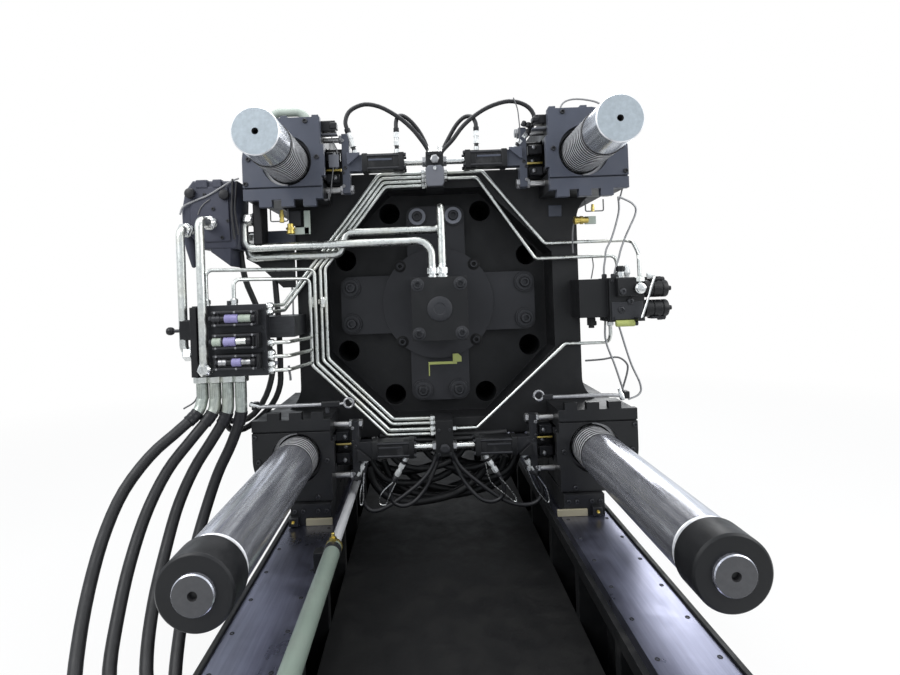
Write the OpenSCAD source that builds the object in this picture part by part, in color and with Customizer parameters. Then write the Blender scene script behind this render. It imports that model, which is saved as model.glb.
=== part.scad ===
// Clamping unit of a two-platen injection molding machine.
// X runs across the machine, +Y along the bars to the stationary platen, +Z up.
// The origin is on the floor at the machine's centre line, under the moving platen's mould face.

/* [Tie bars] */
// Diameter of the tie bars
bar_d = 200; // [180:5:210]
// Distance between bar centres, across and upwards
bar_pitch = 1420; // [1380:10:1500]
// Running gap around a bar in the moving platen
bar_gap = 3; // [2:0.5:6]
// How far the two upper bars stand out behind the locking units
upper_tail = 494; // [400:1:600]
// Diameter of the plain ends of the upper bars
plain_d = 190; // [150:1:196]
// Length of the plain ends of the upper bars
plain_l = 190; // [60:5:280]
// How far the two lower bars stand out behind the locking units
lower_tail = 1196; // [1000:1:1300]
// Diameter of the black end caps on the lower bars
cap_d = 216; // [214:1:240]
// Length of the end caps
cap_l = 118; // [80:1:160]
// Diameter of the stub that carries an end cap
stub_d = 116; // [90:1:130]
// How far the stub stands out of its cap
stub_proud = 12; // [0:1:30]

/* [Platens] */
// Height of the bars' centre above the floor
centre_h = 1720; // [1650:5:1800]
// Width of the platen body between its corner lobes
platen_w = 1470; // [1430:5:1500]
// Height of the platen body between its corner lobes
platen_h = 1372; // [1340:1:1420]
// Radius of the corner lobes around the bars
lobe_r = 205; // [185:1:220]
// Thickness of the moving platen
platen_t = 640; // [560:5:700]
// Width across the flats of the octagonal dish in its back
dish_w = 1200; // [1140:5:1240]
// Depth of the dish
dish_depth = 200; // [160:5:260]
// Diameter of the eight ejector holes
ejector_hole_d = 114; // [40:1:116]
// Gap between the mould faces as the machine stands here
mould_gap = 1200; // [1000:10:1400]
// Thickness of the stationary platen
stationary_t = 600; // [500:5:700]
// Diameter of the locating bore for the mould
locating_d = 250; // [160:1:315]
// Depth of the locating bore
locating_depth = 60; // [30:1:90]
// Diameter of the clearance hole for the injection nozzle
nozzle_d = 180; // [80:1:240]
// Spacing of the outer mould fixing holes
mould_hole_pitch = 1050; // [700:10:1100]
// Spacing of the inner mould fixing holes
mould_inner_pitch = 700; // [560:10:820]
// Diameter of the mould fixing holes
mould_hole_d = 32; // [20:1:40]
// Depth of the mould fixing holes
mould_hole_depth = 80; // [40:1:120]

/* [Clamp cylinders] */
// Diameter of the clamp cylinders on the stationary platen
clamp_d = 400; // [300:5:440]
// Length of the clamp cylinders
clamp_l = 250; // [160:5:320]

/* [Locking units] */
// Depth of a locking housing behind the platen
housing_depth = 260; // [230:5:300]
// Thickness of the toothed cover where the bar comes out
cover_t = 36; // [20:1:40]
// Diameter of the round opening around the bar
opening_d = 240; // [226:1:260]
// Reach of the housing towards the machine's middle
housing_in = 180; // [178:1:200]
// Reach of the housing outwards
housing_out = 210; // [200:1:225]
// Reach of the housing away from the machine's middle height
housing_up = 205; // [190:1:215]
// Reach of the housing towards the machine's middle height
housing_down = 184; // [176:1:196]
// Half the width of a closed half nut pair
nut_reach = 130; // [120:1:132]
// Height of a half nut
nut_h = 280; // [250:2:290]
// Gap between a half nut and the bar when closed
nut_gap = 5.5; // [5:0.5:8]
// Stroke of each half nut
nut_stroke = 22; // [10:1:22]
// Running gap of a half nut in its housing
guide_gap = 0.3; // [0.2:0.05:1]
// Diameter of the rods between a yoke and its half nut
rod_d = 30; // [20:1:36]
// Distance between the two rods of a yoke
rod_pitch = 252; // [220:2:256]
// Distance from the middle plane to the inner side of a yoke
yoke_x = 420; // [400:5:440]
// Thickness of a yoke
yoke_t = 36; // [24:1:50]
// Width of the square locking cylinders
lock_cyl_w = 80; // [60:1:100]
// Distance from the middle plane to a locking cylinder's inner end
lock_cyl_x = 150; // [120:5:180]
// Diameter of a locking cylinder's piston rod
piston_d = 32; // [20:1:44]

/* [Ejector] */
// Reach of the cross-shaped ejector plate from its centre
cross_r = 530; // [480:5:560]
// Width of the arms of the cross
cross_w = 316; // [260:2:320]
// Thickness of the ejector plate
cross_t = 60; // [40:1:80]
// Diameter of the round plate on the cross
disc_d = 600; // [500:5:620]
// Thickness of the round plate
disc_t = 25; // [10:1:30]
// Width of the ejector cylinder's square block
block_w = 278; // [240:1:300]
// Height of the ejector cylinder's square block
block_h = 316; // [280:1:350]
// Thickness of the ejector cylinder's square block
block_t = 270; // [250:1:280]

/* [Bed] */
// From the machine's middle height down to the guide rails' top
rail_drop = 1018; // [1000:1:1030]
// Distance between the middles of the two rails
rail_pitch = 1292; // [1260:2:1330]
// Width of a guide rail
rail_w = 229; // [200:1:240]
// Thickness of a guide rail
rail_t = 40; // [25:1:60]
// Width of a side beam of the bed
beam_w = 270; // [250:5:290]
// Thickness of the beams' webs and ribs
web_t = 50; // [30:1:80]
// Thickness of the beams' flanges
flange_t = 50; // [30:1:80]
// How far the bed reaches behind the origin
bed_back = 2720; // [2600:10:2900]
// How far the bed reaches past the stationary platen
bed_front = 350; // [300:10:500]
// Thickness of the pads that the bed stands on
pad_t = 60; // [40:1:100]
// Height of the bed floor above the ground
floor_z = 420; // [350:5:460]
// Width of a platen shoe
shoe_w = 190; // [160:1:210]
// Running gap between a shoe and its rail
shoe_gap = 0.3; // [0.2:0.05:1]
// Height of a shoe
shoe_h = 98; // [90:1:110]

/* [Traverse cylinder] */
// Distance from the middle plane to the traverse cylinder
traverse_x = 470; // [462:1:480]
// Height of the traverse cylinder above the guide rails
traverse_lift = 80; // [68:1:98]
// Diameter of the traverse cylinder
traverse_d = 64; // [56:1:70]
// Diameter of its rod
traverse_rod_d = 40; // [25:1:45]
// Place of the cylinder's rod end behind the origin
traverse_gland = 1330; // [1300:5:1380]

/* [Hydraulics] */
// Diameter of the thin hydraulic pipes
pipe_d = 18; // [12:1:20]
// Diameter of the thick hydraulic pipes
main_pipe_d = 40; // [30:1:42]
// Diameter of the hoses to the bed
hose_d = 50; // [40:1:50]
// Diameter of the hose elbows
elbow_d = 54; // [50:1:56]

/* [Hidden] */
$fn = 48;
pipe_sides = 10;
hose_sides = 10;
bend_steps = 3;
ring_side = [0.31, -0.9, 0.23];

near_black = "#24262a";
slate = "#4b4f5c";
steel = "#b4b8bd";
zinc = "#c9ccc8";
pale_green = "#9aa699";
rubber = "#1b1b1d";

bar_x = bar_pitch / 2;
rail_z = centre_h - rail_drop;
traverse_z = rail_z + traverse_lift;
platen_back = -platen_t;
root_y = -platen_t - housing_depth;
upper_end = root_y - upper_tail;
lower_end = root_y - lower_tail;
stationary_y = mould_gap;
stationary_back = mould_gap + stationary_t;
clamp_end = stationary_back + clamp_l;
cavity_front = platen_back - 40;
cavity_back = root_y + cover_t;
lock_y = (cavity_front + cavity_back) / 2;
bed_end = stationary_back + bed_front;
beam_top = rail_z - rail_t;
shoe_top = rail_z + shoe_gap + shoe_h;
dish_floor = platen_back + dish_depth;
cross_back = dish_floor - cross_t;
disc_back = cross_back - disc_t;
block_back = disc_back - block_t;
fit = 0.3;

// ---- plain shapes -------------------------------------------------------------------------

module box(x, y, z) {
    translate([x[0], y[0], z[0]])
        cube([x[1] - x[0], y[1] - y[0], z[1] - z[0]]);
}

// Round bar along Y between two places
module y_bar(x, z, y0, y1, d) {
    translate([x, y1, z])
        rotate([90, 0, 0])
            cylinder(d = d, h = y1 - y0);
}

// Round bar along X between two places
module x_bar(x0, x1, y, z, d) {
    translate([x0, y, z])
        rotate([0, 90, 0])
            cylinder(d = d, h = x1 - x0);
}

module z_bar(x, y, z0, z1, d) {
    translate([x, y, z0])
        cylinder(d = d, h = z1 - z0);
}

// Plate in the XZ plane between two places along Y, from a flat outline
module slab(y0, y1) {
    translate([0, y1, 0])
        rotate([90, 0, 0])
            linear_extrude(y1 - y0)
                children();
}

module rect(x0, x1, z0, z1) {
    translate([x0, z0])
        square([x1 - x0, z1 - z0]);
}

// Puts a locking unit's piece at its bar, turned so that +X points outwards and +Z away
// from the machine's middle height
module at_corner(sx, sz) {
    translate([sx * bar_x, 0, centre_h + sz * bar_x])
        mirror([sx < 0 ? 1 : 0, 0, 0])
            mirror([0, 0, sz < 0 ? 1 : 0])
                children();
}

function unit(v) = v / norm(v);

// The rounded stretch of a route at one of its corners
function corner(before, at, after, bend) =
    let (along = unit(at - before), away = unit(after - at), turn = acos(along * away),
         start = at - along * bend * tan(turn / 2), side = unit(away - along * (along * away)))
    [for (k = [0:bend_steps])
        start + bend * (sin(turn * k / bend_steps) * along + (1 - cos(turn * k / bend_steps)) * side)];

// A pipe's route with every corner rounded, to one radius or to one for each corner
function bent(points, bend) =
    let (n = len(points))
    [points[0],
     for (i = [1:n - 2])
         each corner(points[i - 1], points[i], points[i + 1], is_list(bend) ? bend[i - 1] : bend),
     points[n - 1]];

// Direction of a route at one of its points, given its directions at the two ends
function heading(route, i, first, last) =
    i == 0 ? first : i == len(route) - 1 ? last : unit(unit(route[i + 1] - route[i]) + unit(route[i] - route[i - 1]));

// A ring of corners around a route's point
function ring(at, along, d, sides) =
    let (side = unit(cross(along, ring_side)), up = cross(side, along))
    [for (k = [0:sides - 1]) at + d / 2 * (cos(360 * k / sides) * side + sin(360 * k / sides) * up)];

// A closed tube along a route, its two end faces square to the first and last direction
module tube(route, d, first, last, sides) {
    n = len(route);
    rings = [for (i = [0:n - 1]) each ring(route[i], heading(route, i, first, last), d, sides)];
    walls = [for (i = [0:n - 2], k = [0:sides - 1])
        let (a = i * sides + k, b = i * sides + (k + 1) % sides) [a, b, b + sides, a + sides]];
    near = [for (k = [sides - 1:-1:0]) k];
    far = [for (k = [0:sides - 1]) (n - 1) * sides + k];
    polyhedron(points = rings, faces = concat(walls, [near, far]), convexity = 6);
}

// Pipe through points, bent to a radius at each one in between
module pipe(points, d, bend) {
    n = len(points);
    tube(bent(points, bend), d, unit(points[1] - points[0]), unit(points[n - 1] - points[n - 2]), pipe_sides);
}

// ---- bed ----------------------------------------------------------------------------------

beam_x = rail_pitch / 2;
rib_count = 10;
lip_w = 16;
lip_h = 10;
bed_length = bed_end + bed_back;
rib_step = bed_length / rib_count;
cross_beam_h = 260;
cross_beam_w = 240;
pad_w = 300;
rail_end = stationary_y - 20;

module side_beam(sx) {
    height = beam_top - pad_t;
    pocket = (beam_w - web_t) / 2;
    difference() {
        box([sx * beam_x - beam_w / 2, sx * beam_x + beam_w / 2], [-bed_back, bed_end], [pad_t, beam_top]);
        for (i = [0:rib_count - 1], side = [0, 1])
            translate([sx * beam_x - beam_w / 2 - 1 + side * (beam_w - pocket + 1),
                       -bed_back + i * rib_step + web_t / 2, pad_t + flange_t])
                cube([pocket + 1, rib_step - web_t, height - 2 * flange_t]);
    }
}

module bed_frame() {
    color(near_black) {
        for (sx = [-1, 1]) {
            side_beam(sx);
            translate([sx * (beam_x + rail_w / 2 + lip_w / 2 + 1), 0, 0])
                box([-lip_w / 2, lip_w / 2], [-bed_back, rail_end], [beam_top, rail_z + lip_h]);
            for (y = [-bed_back, -pad_w / 2, bed_end - pad_w])
                box([sx * beam_x - beam_w / 2, sx * beam_x + beam_w / 2], [y, y + pad_w], [0, pad_t]);
        }
        for (y = [-bed_back + rib_step, -cross_beam_w / 2, bed_end - rib_step])
            box([-beam_x, beam_x], [y, y + cross_beam_w], [pad_t, pad_t + cross_beam_h]);
        box([-pad_w / 2, pad_w / 2], [-cross_beam_w / 2, cross_beam_w / 2], [0, pad_t]);
    }
}

module rail(sx) {
    color(slate)
        box([sx * beam_x - rail_w / 2, sx * beam_x + rail_w / 2], [-bed_back, rail_end], [beam_top, rail_z]);
}

floor_t = 12;
floor_drop = floor_z - pad_t - cross_beam_h;

module bed_floor() {
    inner = beam_x - beam_w / 2;
    color(near_black) {
        box([-inner, inner], [-bed_back, stationary_y], [floor_z - floor_t, floor_z]);
        for (y = [-bed_back + rib_step, -cross_beam_w / 2])
            box([-inner, inner], [y + 40, y + 60],
                [floor_z - floor_drop, floor_z - floor_t]);
    }
}

// ---- platens ------------------------------------------------------------------------------

module bar_holes(d, y0, y1) {
    for (sx = [-1, 1], sz = [-1, 1])
        y_bar(sx * bar_x, centre_h + sz * bar_x, y0, y1, d);
}

lobe_inner = 160;
side_fillet = 140;
top_fillet = 60;

// Hollow corner between two edges that meet at the origin, filled on their +X, -Y side
module fillet(r) {
    difference() {
        translate([-1, -r])
            square([r + 1, r + 1]);
        translate([r, -r])
            circle(r = r);
    }
}

// Outline of both platens: a body with a round lobe at each bar
module platen_outline() {
    translate([0, centre_h]) {
        square([platen_w, platen_h], center = true);
        for (sx = [-1, 1], sz = [-1, 1])
            translate([sx * bar_x, sz * bar_x]) {
                circle(r = lobe_r);
                mirror([sx > 0 ? 0 : 1, 0])
                    mirror([0, sz > 0 ? 0 : 1]) {
                        rect(-lobe_inner, 0, -lobe_inner, lobe_r);
                        rect(-lobe_inner, lobe_r, -lobe_inner, 0);
                        translate([platen_w / 2 - bar_x, -lobe_inner])
                            fillet(side_fillet);
                        translate([-lobe_inner, platen_h / 2 - bar_x])
                            rotate(180)
                                fillet(top_fillet);
                    }
            }
    }
}

module octagon(w) {
    circle(d = w / cos(22.5), $fn = 8);
}

module mould_holes(y0, y1) {
    for (sx = [-1, 1], sz = [-1, 1], pitch = [mould_hole_pitch, mould_inner_pitch])
        y_bar(sx * pitch / 2, centre_h + sz * pitch / 2, y0, y1, mould_hole_d);
}

hole_near = dish_w * 0.21;
hole_far = dish_w * 0.42;
leg_w = 200;
leg_back = 620;
leg_front = 20;

module moving_platen() {
    color(near_black)
        difference() {
            union() {
                slab(platen_back, 0)
                    platen_outline();
                for (sx = [-1, 1])
                    box([sx * beam_x - leg_w / 2, sx * beam_x + leg_w / 2],
                        [-leg_back, -leg_front], [shoe_top, centre_h - bar_x]);
            }
            slab(platen_back - 1, dish_floor)
                translate([0, centre_h])
                    rotate(22.5)
                        octagon(dish_w);
            bar_holes(bar_d + 2 * bar_gap, platen_back - 1, 1);
            mould_holes(-mould_hole_depth, 1);
            for (a = [-1, 1], b = [-1, 1]) {
                y_bar(a * hole_near, centre_h + b * hole_far, dish_floor - 1, 1, ejector_hole_d);
                y_bar(a * hole_far, centre_h + b * hole_near, dish_floor - 1, 1, ejector_hole_d);
            }
        }
}

stationary_leg_w = beam_w;

module stationary_platen() {
    color(slate)
        difference() {
            union() {
                slab(stationary_y, stationary_back)
                    platen_outline();
                for (sx = [-1, 1])
                    box([sx * beam_x - stationary_leg_w / 2, sx * beam_x + stationary_leg_w / 2],
                        [stationary_y, stationary_back], [beam_top, centre_h - bar_x]);
            }
            bar_holes(bar_d + 2 * fit, stationary_y - 1, stationary_back + 1);
            mould_holes(stationary_y - 1, stationary_y + mould_hole_depth);
            y_bar(0, centre_h, stationary_y - 1, stationary_y + locating_depth, locating_d);
            y_bar(0, centre_h, stationary_y, stationary_back + 1, nozzle_d);
        }
}

shoe_back = 925;
shoe_front = 20;
lug_y = [-200, -90];

module shoe(sx) {
    color(near_black) {
        box([sx * beam_x - shoe_w / 2, sx * beam_x + shoe_w / 2],
            [-shoe_back, -shoe_front], [rail_z + shoe_gap, shoe_top]);
        if (sx < 0)
            box([-beam_x + shoe_w / 2, -traverse_x - traverse_rod_d / 2 - 12], lug_y,
                [rail_z + 20, shoe_top]);
    }
}

// ---- tie bars -----------------------------------------------------------------------------

hole_d = 24;
hole_l = 40;
bar_front = clamp_end - 50;

module upper_bar(sx) {
    color(steel)
        difference() {
            union() {
                y_bar(sx * bar_x, centre_h + bar_x, upper_end + plain_l, bar_front, bar_d);
                y_bar(sx * bar_x, centre_h + bar_x, upper_end, upper_end + plain_l + 1, plain_d);
            }
            y_bar(sx * bar_x, centre_h + bar_x, upper_end - 1, upper_end + hole_l, hole_d);
        }
}

module lower_bar(sx) {
    color(steel) {
        y_bar(sx * bar_x, centre_h - bar_x, lower_end + cap_l, bar_front, bar_d);
        y_bar(sx * bar_x, centre_h - bar_x, lower_end - stub_proud, lower_end + cap_l + 1, stub_d);
    }
}

module end_cap(sx) {
    color(near_black)
        difference() {
            y_bar(sx * bar_x, centre_h - bar_x, lower_end, lower_end + cap_l, cap_d);
            y_bar(sx * bar_x, centre_h - bar_x, lower_end - 1, lower_end + cap_l + 1, stub_d + 2 * fit);
        }
}

module clamp_cylinder(sx, sz) {
    color(slate)
        difference() {
            y_bar(sx * bar_x, centre_h + sz * bar_x, stationary_back, clamp_end, clamp_d);
            y_bar(sx * bar_x, centre_h + sz * bar_x, stationary_back - 1, bar_front + fit, bar_d + 2 * fit);
        }
}

// ---- locking units ------------------------------------------------------------------------

slit_h = 8;
slit_z = 127;
slit_depth = 14;
tooth_w = 60;
tooth_h = 34;
tooth_step = 105;
ear_h = 150;
body_inset = 14;
window_h = 190;
cavity_reach = nut_reach + nut_stroke + 6;
cavity_h = nut_h + 20;

// Outline of a housing, drawn in by some margin
module housing_outline(inset) {
    reach = housing_out - inset;
    intersection() {
        circle(r = reach);
        rect(0, reach, 0, housing_up - inset);
    }
    rect(0, reach, -housing_down, 0);
    rect(-housing_in + 14, 0, -housing_down, housing_up - inset);
}

module cover_outline() {
    housing_outline(0);
    rect(-housing_in, 0, -ear_h / 2, ear_h / 2);
    for (i = [-1:1])
        rect(i * tooth_step - tooth_w / 2, i * tooth_step + tooth_w / 2,
             -housing_down - tooth_h, -housing_down);
}

module lock_housing(sx, sz) {
    color(sz > 0 ? slate : near_black)
        at_corner(sx, sz)
            difference() {
                union() {
                    slab(root_y, cavity_back)
                        cover_outline();
                    slab(cavity_back - 1, platen_back)
                        housing_outline(body_inset);
                }
                box([-cavity_reach, cavity_reach], [cavity_back, cavity_front], [-cavity_h / 2, cavity_h / 2]);
                y_bar(0, 0, root_y - 1, cavity_back + 1, opening_d);
                y_bar(0, 0, cavity_front - 1, platen_back + 1, bar_d + 2 * bar_gap);
                box([-housing_in - 1, housing_out + 1], [root_y - 1, root_y + slit_depth],
                    [-slit_z - slit_h / 2, -slit_z + slit_h / 2]);
                for (side = [-1, 1])
                    x_bar(-housing_in - 1, -cavity_reach + 1, lock_y, side * rod_pitch / 2, rod_d + 2 * fit);
                box([-housing_in - 1, -cavity_reach + 1], [cavity_back + 30, cavity_front - 20],
                    [-window_h / 2, window_h / 2]);
            }
}

// Half of the split nut, on the outward side of its bar
module nut_half() {
    difference() {
        box([3, nut_reach], [cavity_back + guide_gap, cavity_front - guide_gap], [-nut_h / 2, nut_h / 2]);
        y_bar(0, 0, root_y, platen_back, bar_d + 2 * nut_gap);
    }
}

module half_nut(sx, sz) {
    color(steel)
        at_corner(sx, sz)
            nut_half();
}

yoke_h = 292;
yoke_depth = 60;
lug_h = 80;
piston_reach = 100;

// Inner half nut with its two rods, the yoke and the locking cylinder's barrel
module lock_drive(sx, sz) {
    yoke_in = yoke_x - bar_x;
    barrel_in = lock_cyl_x - bar_x;
    color(near_black)
        at_corner(sx, sz) {
            mirror([1, 0, 0])
                nut_half();
            for (side = [-1, 1])
                x_bar(yoke_in, -nut_reach + 1, lock_y, side * rod_pitch / 2, rod_d);
            box([yoke_in, yoke_in + yoke_t], [lock_y - yoke_depth / 2, lock_y + yoke_depth / 2],
                [-yoke_h / 2, yoke_h / 2]);
            box([yoke_in - 62, yoke_in], [lock_y - yoke_depth / 2, lock_y + yoke_depth / 2],
                [-lug_h / 2, lug_h / 2]);
            difference() {
                box([barrel_in, yoke_in - 60], [lock_y - lock_cyl_w / 2, lock_y + lock_cyl_w / 2],
                    [-lock_cyl_w / 2, lock_cyl_w / 2]);
                x_bar(barrel_in - 1, barrel_in + piston_reach + nut_stroke + 12, lock_y, 0, piston_d + 2 * fit);
            }
        }
}

sync_w = 86;
sync_foot = 574;

// Block on the platen that holds the piston rods of two locking cylinders
module sync_block(sz) {
    top = bar_x + 40;
    color(near_black)
        translate([0, 0, centre_h])
            mirror([0, 0, sz < 0 ? 1 : 0]) {
                box([-sync_w / 2, sync_w / 2], [lock_y - 45, platen_back], [sync_foot, platen_h / 2]);
                box([-sync_w / 2, sync_w / 2], [lock_y - 45, lock_y + 45], [sync_foot, top]);
                x_bar(-lock_cyl_x - piston_reach, lock_cyl_x + piston_reach, lock_y, bar_x, piston_d);
            }
}

// ---- ejector ------------------------------------------------------------------------------

boss_r = 473;
boss_side = 98;
boss_d = 107;
boss_t = 14;
cross_corner = 54;

// One bar of the cross, its corners rounded
module cross_arm() {
    r = cross_corner;
    square([2 * cross_r, cross_w - 2 * r], center = true);
    square([2 * cross_r - 2 * r, cross_w], center = true);
    for (a = [-1, 1], b = [-1, 1])
        translate([a * (cross_r - r), b * (cross_w / 2 - r)])
            circle(r = r);
}

module ejector_plate() {
    color(near_black) {
        slab(cross_back, dish_floor)
            translate([0, centre_h])
                for (turn = [0, 90])
                    rotate(turn)
                        cross_arm();
        slab(disc_back, cross_back)
            translate([0, centre_h])
                circle(d = disc_d);
        for (turn = [0:90:270], side = [-1, 1])
            slab(cross_back - boss_t, cross_back)
                translate([0, centre_h])
                    rotate(turn)
                        translate([boss_r, side * boss_side])
                            circle(d = boss_d);
    }
}

block_drop = 24;
block_top = centre_h - block_drop + block_h / 2;

module ejector_block() {
    color(near_black)
        box([-block_w / 2, block_w / 2], [block_back, disc_back],
            [block_top - block_h, block_top]);
}

// ---- traverse cylinder --------------------------------------------------------------------

traverse_back = bed_back - 20;
bearer_w = 60;
bearer_gap = 6;

module traverse_cylinder() {
    color("#a9b8a4")
        difference() {
            union() {
                y_bar(-traverse_x, traverse_z, -traverse_back, -traverse_gland, traverse_d);
                for (y = [-traverse_back, -traverse_gland - bearer_w])
                    box([-beam_x + shoe_w / 2 + bearer_gap, -traverse_x + traverse_d / 2],
                        [y, y + bearer_w], [beam_top, traverse_z]);
            }
            y_bar(-traverse_x, traverse_z, -traverse_back + 20, -traverse_gland + 1, traverse_rod_d + 2 * fit);
            box([-beam_x, -beam_x + rail_w / 2 + fit], [-bed_back, 0], [beam_top - 1, rail_z + 1]);
        }
}

piston_at = 1860;

module traverse_rod() {
    color(steel) {
        y_bar(-traverse_x, traverse_z, -piston_at, lug_y[1], traverse_rod_d);
        box([-traverse_x - traverse_rod_d / 2 - 12, -traverse_x + 30], lug_y,
            [traverse_z - 30, traverse_z + 30]);
    }
}

// ---- hydraulics ---------------------------------------------------------------------------

plate_x = [-1158, -815];
plate_y = [-960, -900];
plate_z = [centre_h - 299, centre_h + 33];
stub_y = -935;
stub_x = [-1132, -1072, -1012, -952];
stub_low = centre_h - 400;
left_arm_x = -871;

module manifold_left() {
    color(steel) {
        box(plate_x, plate_y, plate_z);
        box([left_arm_x, -platen_w / 2 + 38], [plate_y[1] - 1, platen_back],
            [centre_h - 130, centre_h - 30]);
        for (x = stub_x)
            z_bar(x, stub_y, stub_low, plate_z[0] + 1, elbow_d);
    }
}

valve_w = 233;
valve_x = -829;
valve_depth = 90;
valve_drops = [28, 133, 228];

module valve(drop) {
    color(near_black)
        box([valve_x - valve_w, valve_x], [plate_y[0] - valve_depth, plate_y[0]],
            [centre_h - drop - 40, centre_h - drop + 40]);
}

upper_x = [-1239, -990];
upper_y = [-850, -650];
upper_z = [centre_h + 304, centre_h + 646];
port_x = -910;
port_y = [-795, -672];
port_z = [centre_h + 345, centre_h + 480];
upper_arm_y = [-672, -580];
upper_arm_z = [centre_h + 330, centre_h + 405];

module manifold_upper() {
    color(steel) {
        box(upper_x, upper_y, upper_z);
        box([upper_x[1] - 1, -platen_w / 2], upper_arm_y, upper_arm_z);
        box([port_x, -platen_w / 2 - 20], port_y, port_z);
    }
}

right_x = [830, 1000];
right_y = [-830, -670];
right_z = [centre_h - 118, centre_h + 98];
front_end = [970, right_y[0] - 25, 44];

module manifold_right() {
    color(near_black) {
        box(right_x, right_y, right_z);
        box([platen_w / 2 - 44, right_x[0] + 1], [right_y[0] + 30, platen_back],
            [centre_h - 95, centre_h + 95]);
    }
}

solenoid_y = -750;
solenoid_d = 86;
solenoid_l = 165;

module solenoid(z) {
    color(near_black)
        x_bar(right_x[1], right_x[1] + solenoid_l, solenoid_y, centre_h + z, solenoid_d);
}

pipe_y = platen_back - 25;
pipe_bend = 40;

// A thin pipe that lies behind the platen, given by its places across and above the centre
module flat_pipe(points) {
    pipe([for (p = points) [p[0], pipe_y, centre_h + p[1]]], pipe_d, pipe_bend);
}

right_runs = [[248, 677, 558, 292, 1010], [219, 645, 508, 214, 918]];
right_bend = 24;
step_back = 35;
step_down = 42;

// Each run gives where the slanted stretch starts and ends, and where the pipe turns down: the
// first pipe comes forward to the manifold's face, the second ends in its top
module pipes_upper_right() {
    side = sync_w / 2;
    color(zinc) {
        let (run = right_runs[0])
        pipe([[side, pipe_y, centre_h + run[1]], [run[0], pipe_y, centre_h + run[1]],
              [run[2], pipe_y, centre_h + run[3]], [run[4], pipe_y, centre_h + run[3]],
              [front_end[0], front_end[1], centre_h + run[3] - 2 * step_down],
              [front_end[0], front_end[1], centre_h + front_end[2]],
              [front_end[0], right_y[0], centre_h + front_end[2]]],
             pipe_d, [24, 24, 40, 40, 12]);
        let (run = right_runs[1])
        pipe([[side, pipe_y, centre_h + run[1]], [run[0], pipe_y, centre_h + run[1]],
              [run[2], pipe_y, centre_h + run[3]], [run[4], pipe_y, centre_h + run[3]],
              [run[4], pipe_y - step_back, centre_h + run[3] - step_down],
              [run[4], pipe_y - step_back, right_z[1]]],
             pipe_d, right_bend);
    }
}

lower_run = [175, -650, 645, -232, 872];

module pipes_lower_right() {
    run = lower_run;
    color(zinc)
        pipe([[sync_w / 2, pipe_y, centre_h + run[1]], [run[0], pipe_y, centre_h + run[1]],
              [run[2], pipe_y, centre_h + run[3]], [run[4], pipe_y, centre_h + run[3]],
              [run[4], pipe_y - step_back, centre_h + run[3] + step_down],
              [run[4], pipe_y - step_back, right_z[0]]],
             pipe_d, right_bend);
}

left_x = -582;
left_step = 26;
left_bend = 20;
upper_slope = 1.263;
slant_from = [-184, 705];
slant_step = 34;
top_level = 612;
top_step = 22;
low_level = -592;
low_step = 25;
column_low = -265;
column_step = 10;
over_y = pipe_y - 24;
side_ports = [-6, 22];
side_bend = 8;
crossing_runs = [[2, -1098, 200], [3, -969, 152]];
crossing_bend = 30;
short_ports = [-150, -215, -280];
short_x = -720;

// Places of the n-th pipe of the left bundle: its slanted stretch, levels, column and lower bend
function slant_h(n, x) = slant_from[1] + slant_step * n - upper_slope * (slant_from[0] - x);
function slant_x(n, h) = slant_from[0] - (slant_from[1] + slant_step * n - h) / upper_slope;
function level(n) = top_level + top_step * n;
function bottom_level(n) = low_level - low_step * n;
function column_x(n) = left_x - left_step * n;
function column_end(n) = column_low - column_step * n;
function bottom_x(n) = column_x(n) + column_end(n) - bottom_level(n);

module pipes_left() {
    side = -sync_w / 2;
    color(zinc) {
        for (n = [0, 1])
            flat_pipe([[side, level(n)], [slant_x(n, level(n)), level(n)],
                       [column_x(n), slant_h(n, column_x(n))], [column_x(n), column_end(n)],
                       [bottom_x(n), bottom_level(n)], [side, bottom_level(n)]]);
        for (n = [2, 3])
            let (low = side_ports[n - 2], x = slant_x(n, low))
            pipe([[side, pipe_y, centre_h + level(n)], [slant_x(n, level(n)), pipe_y, centre_h + level(n)],
                  [x, pipe_y, centre_h + low], [x, stub_y, centre_h + low],
                  [plate_x[1], stub_y, centre_h + low]],
                 pipe_d, side_bend);
        for (run = crossing_runs)
            let (n = run[0], x = column_x(n))
            pipe([[run[1], stub_y, plate_z[1]], [run[1], stub_y, centre_h + run[2]],
                  [x, over_y, centre_h + run[2]], [x, over_y, centre_h + column_end(n)],
                  [bottom_x(n), over_y, centre_h + bottom_level(n)], [side, over_y, centre_h + bottom_level(n)]],
                 pipe_d, crossing_bend);
        for (z = short_ports)
            pipe([[plate_x[1], stub_y, centre_h + z], [short_x, stub_y, centre_h + z],
                  [column_x(3) - 2, over_y - 5, centre_h + z]], pipe_d, left_bend);
    }
}

ejector_y = [block_back + 27, block_back + 97];
ejector_bend = [42, 42, 75];

ejector_in_x = [-30, 22];
ejector_out_z = [452, 362];
ejector_out_x = -962;
ejector_run_z = [312, 318];
ejector_rise = [-500, 268, -462, 378, 485];
rise_bend = 34;

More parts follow.
